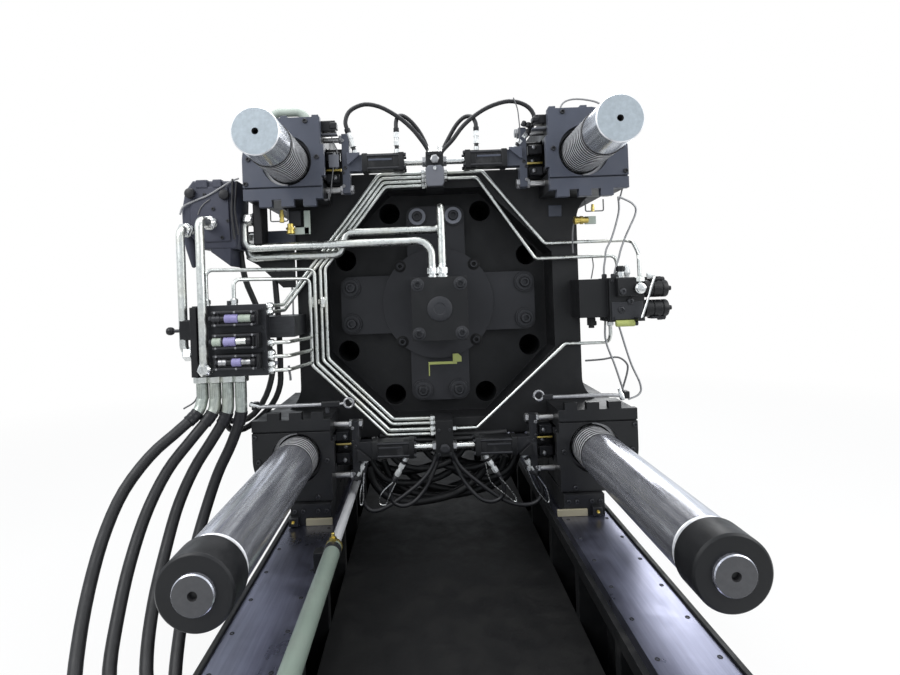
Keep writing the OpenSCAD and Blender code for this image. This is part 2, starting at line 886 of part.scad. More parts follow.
// Each thick pipe turns back around the bracket, crosses to the middle and ends in the block;
// the second one first climbs and comes forward
module pipes_ejector() {
    color(zinc) {
        pipe([[port_x, ejector_y[0], centre_h + ejector_out_z[0]],
              [ejector_out_x, ejector_y[0], centre_h + ejector_out_z[0]],
              [ejector_out_x, ejector_y[0], centre_h + ejector_run_z[0]],
              [ejector_in_x[0], ejector_y[0], centre_h + ejector_run_z[1]],
              [ejector_in_x[0], ejector_y[0], block_top]],
             main_pipe_d, ejector_bend);
        pipe([[port_x, ejector_y[1], centre_h + ejector_out_z[1]],
              [ejector_out_x, ejector_y[1], centre_h + ejector_out_z[1]],
              [ejector_out_x, ejector_y[1], centre_h + ejector_rise[1]],
              [ejector_rise[0], ejector_y[1], centre_h + ejector_rise[1] + 2],
              [ejector_rise[2], ejector_y[1], centre_h + ejector_rise[3]],
              [ejector_in_x[1], ejector_y[1], centre_h + ejector_rise[3] + 2],
              [ejector_in_x[1], ejector_y[1], centre_h + ejector_rise[4]],
              [ejector_in_x[1], ejector_y[0], centre_h + ejector_rise[4]],
              [ejector_in_x[1], ejector_y[0], block_top]],
             main_pipe_d, rise_bend);
    }
}

side_pipe_y = -1000;
side_runs = [[-1211, 400, -190, 42], [-1094, 430, -260, 38]];

module pipes_side() {
    outer = side_runs[0];
    inner = side_runs[1];
    color(zinc) {
        pipe([[outer[0], upper_y[0], centre_h + outer[1]], [outer[0], stub_y, centre_h + outer[1]],
              [outer[0], stub_y, centre_h + outer[2]], [plate_x[0], stub_y, centre_h + outer[2]]],
             main_pipe_d, outer[3]);
        pipe([[inner[0], upper_y[0], centre_h + inner[1]], [inner[0], side_pipe_y, centre_h + inner[1]],
              [inner[0], side_pipe_y, centre_h + inner[2]], [inner[0], plate_y[0], centre_h + inner[2]]],
             main_pipe_d, inner[3]);
    }
}

conduit_d = 30;
conduit_in = 68;
conduit_out = 122;
conduit_rise = 305;
conduit_y = platen_back - 60;
conduit_bend = 56;
conduit_foot = sqrt(pow(housing_out - body_inset, 2) - pow(conduit_out - conduit_d / 2, 2)) + 0.5;

// Pale conduit that arches over the upper left housing: one end stands on the housing's flat top,
// the other just clears its round shoulder
module conduit_left() {
    top = centre_h + bar_x;
    color(pale_green)
        pipe([[-bar_x + conduit_in, conduit_y, top + housing_up - body_inset],
              [-bar_x + conduit_in, conduit_y, top + conduit_rise],
              [-bar_x - conduit_out, conduit_y, top + conduit_rise],
              [-bar_x - conduit_out, conduit_y, top + conduit_foot]],
             conduit_d, conduit_bend);
}

// ---- hoses to the bed ---------------------------------------------------------------------

bracket_x = -960;
bracket_hole_z = 300;
hose_row_y = [-1500, -1590, -1680, -1770];

module hose_bracket() {
    outer = -beam_x - beam_w / 2;
    color(near_black) {
        box([bracket_x, bracket_x + 16], [-1830, -1440], [bracket_hole_z - 80, bracket_hole_z + 90]);
        box([bracket_x + 15, outer], [-1830, -1440], [bracket_hole_z - 80, bracket_hole_z - 64]);
        for (y = hose_row_y)
            x_bar(bracket_x - 60, bracket_x + 1, y, bracket_hole_z, elbow_d);
    }
}

HOSE_1 = [[-1132, -935, 1320], [-1150, -958, 1258], [-1215, -1025, 1190], [-1305, -1100, 1105],
          [-1385, -1180, 980], [-1420, -1270, 840], [-1420, -1380, 690], [-1390, -1510, 540],
          [-1330, -1640, 420], [-1230, -1730, 340], [-1120, -1768, 305], [-1020, -1770, 300]];
HOSE_2 = [[-1072, -935, 1320], [-1086, -948, 1250], [-1160, -1000, 1150], [-1245, -1070, 1030],
          [-1300, -1160, 880], [-1315, -1280, 720], [-1305, -1400, 570], [-1275, -1520, 440],
          [-1210, -1620, 355], [-1120, -1672, 310], [-1020, -1680, 300]];
HOSE_3 = [[-1012, -935, 1320], [-1022, -938, 1240], [-1085, -960, 1130], [-1157, -1000, 1010],
          [-1205, -1070, 870], [-1220, -1170, 720], [-1215, -1290, 580], [-1190, -1410, 450],
          [-1145, -1510, 360], [-1085, -1575, 312], [-1020, -1590, 300]];
HOSE_4 = [[-952, -935, 1320], [-958, -932, 1230], [-1008, -925, 1100], [-1070, -940, 970],
          [-1110, -990, 830], [-1130, -1080, 690], [-1130, -1190, 550], [-1115, -1300, 430],
          [-1090, -1400, 350], [-1060, -1470, 310], [-1020, -1500, 300]];

module hose(route) {
    color(rubber)
        tube(route, hose_d, [0, 0, -1], [1, 0, 0], hose_sides);
}

bed_frame();
rail(-1);  // rail_left
rail(1);  // rail_right
bed_floor();
stationary_platen();
upper_bar(-1);  // tie_bar_ul
upper_bar(1);  // tie_bar_ur
lower_bar(-1);  // tie_bar_ll
lower_bar(1);  // tie_bar_lr
end_cap(-1);  // end_cap_ll
end_cap(1);  // end_cap_lr
clamp_cylinder(-1, 1);  // clamp_cylinder_ul
clamp_cylinder(1, 1);  // clamp_cylinder_ur
clamp_cylinder(-1, -1);  // clamp_cylinder_ll
clamp_cylinder(1, -1);  // clamp_cylinder_lr
traverse_cylinder();
hose_bracket();
moving_platen();
shoe(-1);  // shoe_left
shoe(1);  // shoe_right
lock_housing(-1, 1);  // lock_housing_ul
lock_housing(1, 1);  // lock_housing_ur
lock_housing(-1, -1);  // lock_housing_ll
lock_housing(1, -1);  // lock_housing_lr
lock_drive(-1, 1);  // lock_drive_ul
lock_drive(1, 1);  // lock_drive_ur
lock_drive(-1, -1);  // lock_drive_ll
lock_drive(1, -1);  // lock_drive_lr
half_nut(-1, 1);  // half_nut_ul
half_nut(1, 1);  // half_nut_ur
half_nut(-1, -1);  // half_nut_ll
half_nut(1, -1);  // half_nut_lr
sync_block(1);  // sync_block_top
sync_block(-1);  // sync_block_bottom
ejector_plate();
ejector_block();
traverse_rod();
manifold_left();
valve(valve_drops[0]);  // valve_top
valve(valve_drops[1]);  // valve_middle
valve(valve_drops[2]);  // valve_bottom
manifold_upper();
manifold_right();
solenoid(38);  // solenoid_upper
solenoid(-60);  // solenoid_lower
pipes_upper_right();
pipes_lower_right();
pipes_left();
pipes_ejector();
pipes_side();
conduit_left();
hose(HOSE_1);  // hose_1
hose(HOSE_2);  // hose_2
hose(HOSE_3);  // hose_3
hose(HOSE_4);  // hose_4
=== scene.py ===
import math

import bpy
import numpy as np
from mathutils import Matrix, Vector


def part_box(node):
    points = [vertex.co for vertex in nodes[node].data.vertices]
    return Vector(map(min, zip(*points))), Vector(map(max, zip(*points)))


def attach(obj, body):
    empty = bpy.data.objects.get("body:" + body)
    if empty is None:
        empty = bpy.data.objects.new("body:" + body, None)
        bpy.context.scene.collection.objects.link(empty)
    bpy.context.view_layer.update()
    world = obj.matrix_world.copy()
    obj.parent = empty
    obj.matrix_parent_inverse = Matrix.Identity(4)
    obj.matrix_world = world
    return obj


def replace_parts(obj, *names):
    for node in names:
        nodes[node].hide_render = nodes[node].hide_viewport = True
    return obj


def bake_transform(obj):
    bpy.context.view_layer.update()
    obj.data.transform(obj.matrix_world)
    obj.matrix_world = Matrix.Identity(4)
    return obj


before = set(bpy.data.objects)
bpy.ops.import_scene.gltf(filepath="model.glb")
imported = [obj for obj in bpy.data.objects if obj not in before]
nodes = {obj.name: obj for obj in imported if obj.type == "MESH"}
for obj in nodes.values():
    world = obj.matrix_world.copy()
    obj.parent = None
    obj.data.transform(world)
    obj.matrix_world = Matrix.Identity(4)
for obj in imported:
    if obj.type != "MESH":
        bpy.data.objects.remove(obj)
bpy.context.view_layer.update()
scene = bpy.context.scene

view = {"place": (-0.08, -3.567, 1.782), "roll": 2.06, "lens": 22.4, "shift": (0.03, -0.0506)}
cameraData = bpy.data.cameras.new("camera")
cameraData.lens = view["lens"]
cameraData.sensor_width = 36
cameraData.shift_x, cameraData.shift_y = view["shift"]
cameraData.clip_end = 100
camera = bpy.data.objects.new("camera", cameraData)
camera.location = view["place"]
camera.rotation_euler = (math.pi / 2, math.radians(view["roll"]), 0)
scene.collection.objects.link(camera)
scene.camera = camera
print("camera placed")


# Directions along the axes
plusX, plusY, plusZ = (1, 0, 0), (0, 1, 0), (0, 0, 1)
minusX, minusY, minusZ = (-1, 0, 0), (0, -1, 0), (0, 0, -1)


def vec(*values):
    return np.array(values, float)


# Millimetres to metres
def mm(*values):
    return vec(*values) / 1000


def unit(v):
    v = np.asarray(v, float)
    return v / np.linalg.norm(v, axis=-1, keepdims=True)


# Two directions square to a path: the path crossed with a fixed hint, and what closes the set
def crosswise(along):
    hint = vec(0.31, -0.9, 0.23)
    along = unit(along)
    side = unit(np.cross(along, hint))
    return side, np.cross(side, along)


# Rings of a radius about points, square to a direction for each: points x sides x 3
def rings(centres, along, radius, sides):
    side, up = crosswise(along)
    angle = np.linspace(0, 2 * math.pi, sides, endpoint=False)
    spoke = np.cos(angle)[:, None] * side[..., None, :] + np.sin(angle)[:, None] * up[..., None, :]
    return centres[:, None] + radius[..., None] * spoke


# Places evenly round a circle in X and Z, at one Y
def ringPlaces(centre, radius, y, count, turn):
    angles = np.arange(count) * 2 * math.pi / count + turn
    return [vec(centre[0] + radius * math.cos(a), y, centre[2] + radius * math.sin(a)) for a in angles]


# Lowest and highest corner of a CAD node as arrays
def corners(name):
    lo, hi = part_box(name)
    return np.array(lo, float), np.array(hi, float)


# Gathers grids of points into one mesh
class Surface:

    def __init__(self):
        self.points, self.faces, self.kinds, self.count = [], [], [], 0

    # p is rows x columns x 3: each cell is one face, and the columns close into a ring when around
    def grid(self, p, around=True, caps=True, flip=False, kinds=None):
        rows, cols = p.shape[:2]
        index = np.arange(rows * cols).reshape(rows, cols) + self.count
        right = np.roll(index, -1, axis=1) if around else index[:, 1:]
        left = index if around else index[:, :-1]
        cells = np.stack([left[:-1], right[:-1], right[1:], left[1:]], -1)
        kinds = np.zeros(rows - 1, int) if kinds is None else np.asarray(kinds, int)
        self.kinds += np.repeat(kinds, cells.shape[1]).tolist()
        cells = cells.reshape(-1, 4)
        self.faces += (cells[:, ::-1] if flip else cells).tolist()
        if around and caps:
            for ring, kind, over in ((index[0], kinds[0], not flip), (index[-1], kinds[-1], flip)):
                self.faces.append((ring[::-1] if over else ring).tolist())
                self.kinds.append(int(kind))
        self.points.append(p.reshape(-1, 3))
        self.count += rows * cols

    def build(self, name, finish, smooth=40, body=None, slot=None):
        mesh = bpy.data.meshes.new(name)
        mesh.from_pydata(np.concatenate(self.points).tolist(), [], self.faces)
        mesh.polygons.foreach_set("use_smooth", np.ones(len(mesh.polygons), bool))
        mesh.set_sharp_from_angle(angle=math.radians(smooth))
        for one in finish if isinstance(finish, list) else [finish]:
            mesh.materials.append(one)
        mesh.polygons.foreach_set("material_index", np.array(self.kinds, np.int32))
        made = bpy.data.objects.new(name, mesh)
        scene.collection.objects.link(made)
        if body:
            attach(made, body)
        return made


# A profile of (distance, radius, flatness) in millimetres, turned about an axis: the radius is
# r, or r / cos(angle to the nearest of six flats) where flatness is 1
def turned(surface, profile, at, along, sides, kinds=None):
    profile = np.array([(*row, 0)[:3] for row in profile], float) / (1000, 1000, 1)
    angle = np.linspace(0, 2 * math.pi, sides, endpoint=False)
    flat = 1 / np.cos(angle % (math.pi / 3) - math.pi / 6)
    radius = profile[:, 1, None] * (1 + profile[:, 2, None] * (flat - 1))
    surface.grid(rings(vec(*at) + profile[:, :1] * unit(along), along, radius, sides), flip=True, kinds=kinds)


# A box with rounded long edges and bevelled ends: a rounded rectangle carried along an axis
# through four levels, the outer two drawn in by the edge
def cornered(surface, lo, hi, edge, axis=1, corner=None):
    lo, hi = np.minimum(lo, hi).astype(float), np.maximum(lo, hi).astype(float)
    corner = edge if corner is None else corner
    a, b = [(1, 2), (2, 0), (0, 1)][axis]
    quarter = np.linspace(0, math.pi / 2, 3)
    angle = np.concatenate([quarter + k * math.pi / 2 for k in range(4)])
    sign = np.repeat([(1, 1), (-1, 1), (-1, -1), (1, -1)], 3, axis=0)
    half = vec(hi[a] - lo[a], hi[b] - lo[b]) / 2
    mid = vec(hi[a] + lo[a], hi[b] + lo[b]) / 2
    level = [(lo[axis], edge), (lo[axis] + edge, 0), (hi[axis] - edge, 0), (hi[axis], edge)]
    rows = np.zeros((4, len(angle), 3))
    for k, (place, inset) in enumerate(level):
        r = max(corner - inset, corner * 0.25)
        flat = mid + sign * (half - inset - r) + r * np.stack([np.cos(angle), np.sin(angle)], -1)
        rows[k, :, a], rows[k, :, b], rows[k, :, axis] = flat[:, 0], flat[:, 1], place
    surface.grid(rows, flip=True)


# A flat outline given as (X, Z) points, swept from one Y to another, its two faces drawn in
# towards the outline's middle by a bevel
def plated(surface, outline, y0, y1, edge):
    flat = np.asarray(outline, float)
    middle = flat.mean(axis=0)
    inner = flat + unit(middle - flat) * edge
    turnedLeft = np.sum(flat[:, 0] * np.roll(flat[:, 1], -1) - np.roll(flat[:, 0], -1) * flat[:, 1]) > 0
    rows = [np.stack([f[:, 0], np.full(len(f), y), f[:, 1]], -1)
            for f, y in ((inner, y0), (flat, y0 + edge), (flat, y1 - edge), (inner, y1))]
    surface.grid(np.stack(rows), flip=not turnedLeft)


# A circle of a radius, or of one radius per point, carried along a path: each ring stands
# square to the mean of the directions on its two sides
def carried(surface, path, radius, sides, first=None, last=None):
    path = np.asarray(path, float)
    step = unit(np.diff(path, axis=0))
    along = unit(np.concatenate([step[:1], step[:-1] + step[1:], step[-1:]]))
    if first is not None:
        along[0] = first
    if last is not None:
        along[-1] = last
    radius = np.broadcast_to(radius, len(path))[:, None]
    surface.grid(rings(path, along, radius, sides), flip=True)


# A route of straight stretches whose corners are arcs that touch both stretches, of one radius
# or of one for each corner
def bent(route, bend, steps=7):
    route = np.asarray(route, float)
    bends = np.broadcast_to(bend, len(route) - 2)
    out = [route[:1]]
    for before, at, after, r in zip(route[:-2], route[1:-1], route[2:], bends):
        along, away = unit(at - before), unit(after - at)
        turn = math.acos(float(np.clip(along @ away, -1, 1)))
        start = at - along * r * math.tan(turn / 2)
        side = away - along * (along @ away)
        side = side / max(np.linalg.norm(side), 1e-9)
        t = np.linspace(0, turn, steps + 1)[:, None]
        out.append(start + r * (np.sin(t) * along + (1 - np.cos(t)) * side))
    out.append(route[-1:])
    return np.concatenate(out)


# A smooth curve through points: a Catmull-Rom cubic on each stretch, sampled evenly by number
def eased(route, count):
    p = np.asarray(route, float)
    p = np.concatenate([2 * p[:1] - p[1:2], p, 2 * p[-1:] - p[-2:-1]])
    t = np.linspace(0, len(route) - 1, count)
    k = np.minimum(t.astype(int), len(route) - 2)
    u = (t - k)[:, None]
    a, b, c, d = p[k], p[k + 1], p[k + 2], p[k + 3]
    square, cube = 2 * a - 5 * b + 4 * c - d, 3 * b - a - 3 * c + d
    return 0.5 * (2 * b + (c - a) * u + square * u ** 2 + cube * u ** 3)


# Socket head screw, radius and height in millimetres: a drum with a rounded rim and a six-sided pocket
def capScrew(surface, at, along, r, h, sides):
    turned(surface, [(-1, r), (h - r * 0.16, r), (h, r * 0.84), (h, r * 0.5, 1), (h - r * 0.6, r * 0.46, 1),
                     (h - r * 0.6, 0.1 * r)], at, along, sides)


# Six-sided head with a chamfered top and a washer face
def hexHead(surface, at, along, r, h, sides):
    turned(surface, [(-1, r * 1.1), (h * 0.12, r * 1.1), (h * 0.12, r * 0.98, 1), (h * 0.86, r * 0.98, 1),
                     (h, r * 0.86, 0.2), (h, r * 0.2)], at, along, sides)


# Pipe union: a collar, a six-sided nut with chamfers and a smaller round neck
def union(surface, at, along, pipe, n):
    r = pipe * 1.62
    turned(surface, [(-1, r * 1.02), (n * 0.2, r * 1.02), (n * 0.2, r * 0.92), (n * 0.26, r, 1),
        (n * 0.84, r, 1), (n * 0.92, r * 0.88, 0.3), (n, pipe * 1.2), (n, pipe * 0.9)], at, along, 24)


# One output of a shader node, with arithmetic on it
class Flow:

    def __init__(self, finish, out):
        self.finish, self.out = finish, out

    def maths(self, operation, *others):
        return self.finish.node("Math", inputs=dict(enumerate((self, *others))), operation=operation)

    def __add__(self, other): return self.maths("ADD", other)
    def __radd__(self, other): return self.maths("ADD", other)
    def __sub__(self, other): return self.maths("SUBTRACT", other)
    def __mul__(self, other): return self.maths("MULTIPLY", other)
    def __rmul__(self, other): return self.maths("MULTIPLY", other)
    def __gt__(self, other): return self.maths("GREATER_THAN", other)
    def __lt__(self, other): return self.maths("LESS_THAN", other)
    def __abs__(self): return self.finish.node("Math", inputs={0: self}, operation="ABSOLUTE")


# A material in the making
class Finish:

    def __init__(self, name, metallic=0.0, roughness=0.5, specular=0.5):
        self.material = bpy.data.materials.new(name)
        self.material.use_nodes = True
        self.tree = self.material.node_tree
        self.shader = self.tree.nodes["Principled BSDF"]
        self.feed("Metallic", metallic)
        self.feed("Roughness", roughness)
        self.feed("Specular IOR Level", specular)
        self.place = self.node("TexCoord", out="Object")

    def node(self, kind, out=0, inputs=None, **settings):
        made = self.tree.nodes.new("ShaderNode" + kind)
        for key, value in settings.items():
            setattr(made, key, value)
        for key, value in (inputs or {}).items():
            self.plug(made.inputs[key], value)
        return Flow(self, made.outputs[out])

    def plug(self, socket, value):
        if isinstance(value, Flow):
            self.tree.links.new(value.out, socket)
        else:
            socket.default_value = value

    def feed(self, name, value):
        self.plug(self.shader.inputs[name], value)

    def stretch(self, scale):
        return self.node("Mapping", inputs={"Vector": self.place, "Scale": scale})

    def noise(self, scale, detail, roughness, place=None, distortion=0.0):
        return self.node("TexNoise", inputs={"Vector": place or self.place, "Scale": scale, "Detail": detail,
                                             "Roughness": roughness, "Distortion": distortion})

    # value from low to high becomes first to last, held at both ends
    def span(self, value, low, high, first=0.0, last=1.0):
        return self.node("MapRange", inputs={"Value": value, 1: low, 2: high, 3: first, 4: last}, clamp=True)

    def blendColor(self, share, first, last):
        made = self.tree.nodes.new("ShaderNodeMix")
        made.data_type = "RGBA"
        for key, value in ((0, share), (6, first), (7, last)):
            self.plug(made.inputs[key], (*value, 1) if isinstance(value, tuple) else value)
        return Flow(self, made.outputs[2])

    def split(self, vector, part):
        return self.node("SeparateXYZ", out=part, inputs={0: vector})

    def facing(self, part):
        return self.split(self.node("NewGeometry", out="Normal"), part)

    # 0 on flat faces, up to 1 along outer edges: how far the rounded normal turns from the true one
    def edges(self, reach):
        soft = self.node("Bevel", inputs={"Radius": reach}, samples=4)
        hard = self.node("NewGeometry", out="Normal")
        dot = self.node("VectorMath", out="Value", inputs={0: soft, 1: hard}, operation="DOT_PRODUCT")
        return self.span(dot, 0.97, 0.75)

    def bump(self, height, distance, strength, rounding=None):
        inputs = {"Height": height, "Distance": distance, "Strength": strength}
        if rounding:
            inputs["Normal"] = self.node("Bevel", inputs={"Radius": rounding}, samples=4)
        self.feed("Normal", self.node("Bump", inputs=inputs))


# Machine paint: two tones mottled by slow noise, pale dust in patches, edges rubbed, and a fine
# orange-peel bump; behind is a second paint for what lies further along Y than a given place
def painted(name, color, dust, dusty, roughness, rounding=0.004, cast=0.0, wear=(0.09, 0.09, 0.095),
        behind=None, upDust=0.0):
    f = Finish(name, specular=0.3)
    slow = f.noise(2.3, 4, 0.6)
    cloud = f.noise(9.0, 6, 0.65, distortion=0.4)
    tone = f.blendColor(f.span(slow, 0.35, 0.7), color, tuple(c * 1.3 for c in color))
    if behind:
        far = f.split(f.place, 1) > behind[0]
        tone = f.blendColor(far, tone, behind[1])
    dusted = f.span(cloud * slow, 0.25, 0.46, 0, dusty)
    if upDust:
        dusted = dusted + f.span(f.facing(2), 0.3, 1.0, 0, upDust) * f.span(cloud, 0.3, 0.7)
    tone = f.blendColor(dusted, tone, dust)
    rubbed = f.edges(0.004) * f.span(f.noise(34, 4, 0.7), 0.48, 0.66)
    f.feed("Base Color", f.blendColor(rubbed * 0.7, tone, wear))
    f.feed("Roughness", f.span(cloud, 0.3, 0.75, roughness - 0.09, roughness + 0.16) + dusted * 0.25)
    f.bump(f.noise(420, 2, 0.5) * 0.12 + f.noise(38, 5, 0.6) * cast, 0.0016, 0.5, rounding)
    return f.material


# Bare metal: fine grain drawn out along one direction, a cloudy oil film
def brushed(name, color, roughness, along, grain, rounding=0.003, shade=0.7, metallic=1.0):
    f = Finish(name, metallic=metallic)
    fine = f.noise(grain, 3, 0.6, place=f.stretch(along))
    film = f.noise(5.0, 5, 0.6, distortion=0.6)
    dark = tuple(c * shade for c in color)
    f.feed("Base Color", f.blendColor(f.span(fine * 0.6 + film * 0.4, 0.36, 0.64), dark, color))
    f.feed("Roughness", f.span(film, 0.3, 0.7, roughness - 0.06, roughness + 0.12) + fine * 0.06)
    f.bump(fine, 0.0006, 0.35, rounding)
    return f.material


# Zinc plate: small soft clouds in brightness, a faint warm bloom, finger marks in the gloss
def zinced(name, color, roughness, spangle=60, metallic=1.0, bloomed=0.3):
    f = Finish(name, metallic=metallic)
    cloud = f.noise(spangle, 4, 0.6)
    bloom = f.noise(7, 3, 0.5)
    tone = f.blendColor(f.span(cloud, 0.35, 0.65), tuple(c * 0.8 for c in color), color)
    f.feed("Base Color", f.blendColor(f.span(bloom, 0.5, 0.75, 0, bloomed), tone, (0.66, 0.6, 0.46)))
    f.feed("Roughness", f.span(cloud + bloom * 0.5, 0.5, 1.0, roughness - 0.07, roughness + 0.14))
    f.bump(cloud, 0.0005, 0.3)
    return f.material


# Hose cover: fine crossing ridges of a cloth wrap, dust on the upper side, scuffed lines
def rubbery(name, color=(0.012, 0.012, 0.013), roughness=0.46):
    f = Finish(name, specular=0.4)
    scuff = f.noise(24, 5, 0.7, place=f.stretch((1, 1, 0.25)))
    dust = f.span(f.facing(2), 0.0, 1.0, 0, 0.35) * f.span(f.noise(11, 4, 0.6), 0.35, 0.7)
    tone = f.blendColor(dust, color, (0.07, 0.07, 0.075))
    f.feed("Base Color", f.blendColor(f.span(scuff, 0.6, 0.75, 0, 0.5), tone, (0.05, 0.05, 0.053)))
    f.feed("Roughness", f.span(scuff, 0.3, 0.7, roughness - 0.08, roughness + 0.14))
    f.bump(f.noise(520, 2, 0.5), 0.0006, 0.5)
    return f.material


# Ground, chromed bar: streaks along Y on the round side, turning marks on faces that look
# along Y, oil and dust clouds
def chromed(name, light, dark, rough, metallic, endColor=(0.41, 0.46, 0.50)):
    f = Finish(name)
    end = f.span(abs(f.facing(1)), 0.85, 0.95)
    streak = f.noise(46, 4, 0.7, place=f.stretch((1, 0.045, 1)))
    film = f.noise(3.4, 5, 0.62, distortion=0.8)
    ringed = f.noise(60, 3, 0.6)
    side = f.blendColor(f.span(streak * 0.85 + film * 0.15, 0.36, 0.64), dark, light)
    faceDark, faceLight = (tuple(c * share for c in endColor) for share in (0.88, 1.05))
    face = f.blendColor(f.span(ringed, 0.3, 0.7), faceDark, faceLight)
    f.feed("Base Color", f.blendColor(end, side, face))
    f.feed("Roughness", f.span(film, 0.3, 0.7, rough, rough + 0.06) + end * 0.3 + streak * 0.05)
    f.feed("Metallic", f.span(end, 0, 1, metallic, 0.5))
    f.bump(streak, 0.0005, 0.3)
    return f.material


# Locking drive: machined nut and rods further out than one place across, painted yoke and lug
# between, black barrel nearer the machine's middle and its bright piston rod innermost; the nut's
# outer part, seen in the housing's opening, is painted near-black as shade
def driving(name, yoke, barrel):
    nutShadeFrom, rodFrom, barrelTo, pistonTo = 0.56, 0.4575, 0.3575, 0.1495
    f = Finish(name, specular=0.3)
    reach = abs(f.split(f.place, 0))
    piston = reach < pistonTo
    metal = (reach > rodFrom) + piston
    cloud = f.noise(12, 5, 0.65, distortion=0.4)
    fine = f.noise(90, 3, 0.6)
    paint = f.blendColor(reach < barrelTo, yoke, barrel)
    paint = f.blendColor(f.span(cloud, 0.52, 0.7, 0, 0.25), paint, (0.12, 0.12, 0.125))
    steel = f.blendColor(fine, (0.34, 0.34, 0.35), (0.6, 0.59, 0.57))
    # Furthest out, the nut's steel turns near-black: painted shade in the housing's opening
    steel = f.blendColor(reach > nutShadeFrom, steel, (0.03, 0.03, 0.032))
    steel = f.blendColor(piston, steel, (0.86, 0.87, 0.88))
    rubbed = f.edges(0.003) * f.span(f.noise(30, 4, 0.7), 0.48, 0.66)
    f.feed("Base Color", f.blendColor(rubbed * 0.6, f.blendColor(metal, paint, steel), (0.2, 0.2, 0.21)))
    f.feed("Metallic", metal - piston * 0.5)
    f.feed("Roughness", f.span(cloud, 0.3, 0.7, 0.3, 0.46))
    f.bump(fine * 0.3 + cloud, 0.001, 0.4, 0.003)
    return f.material


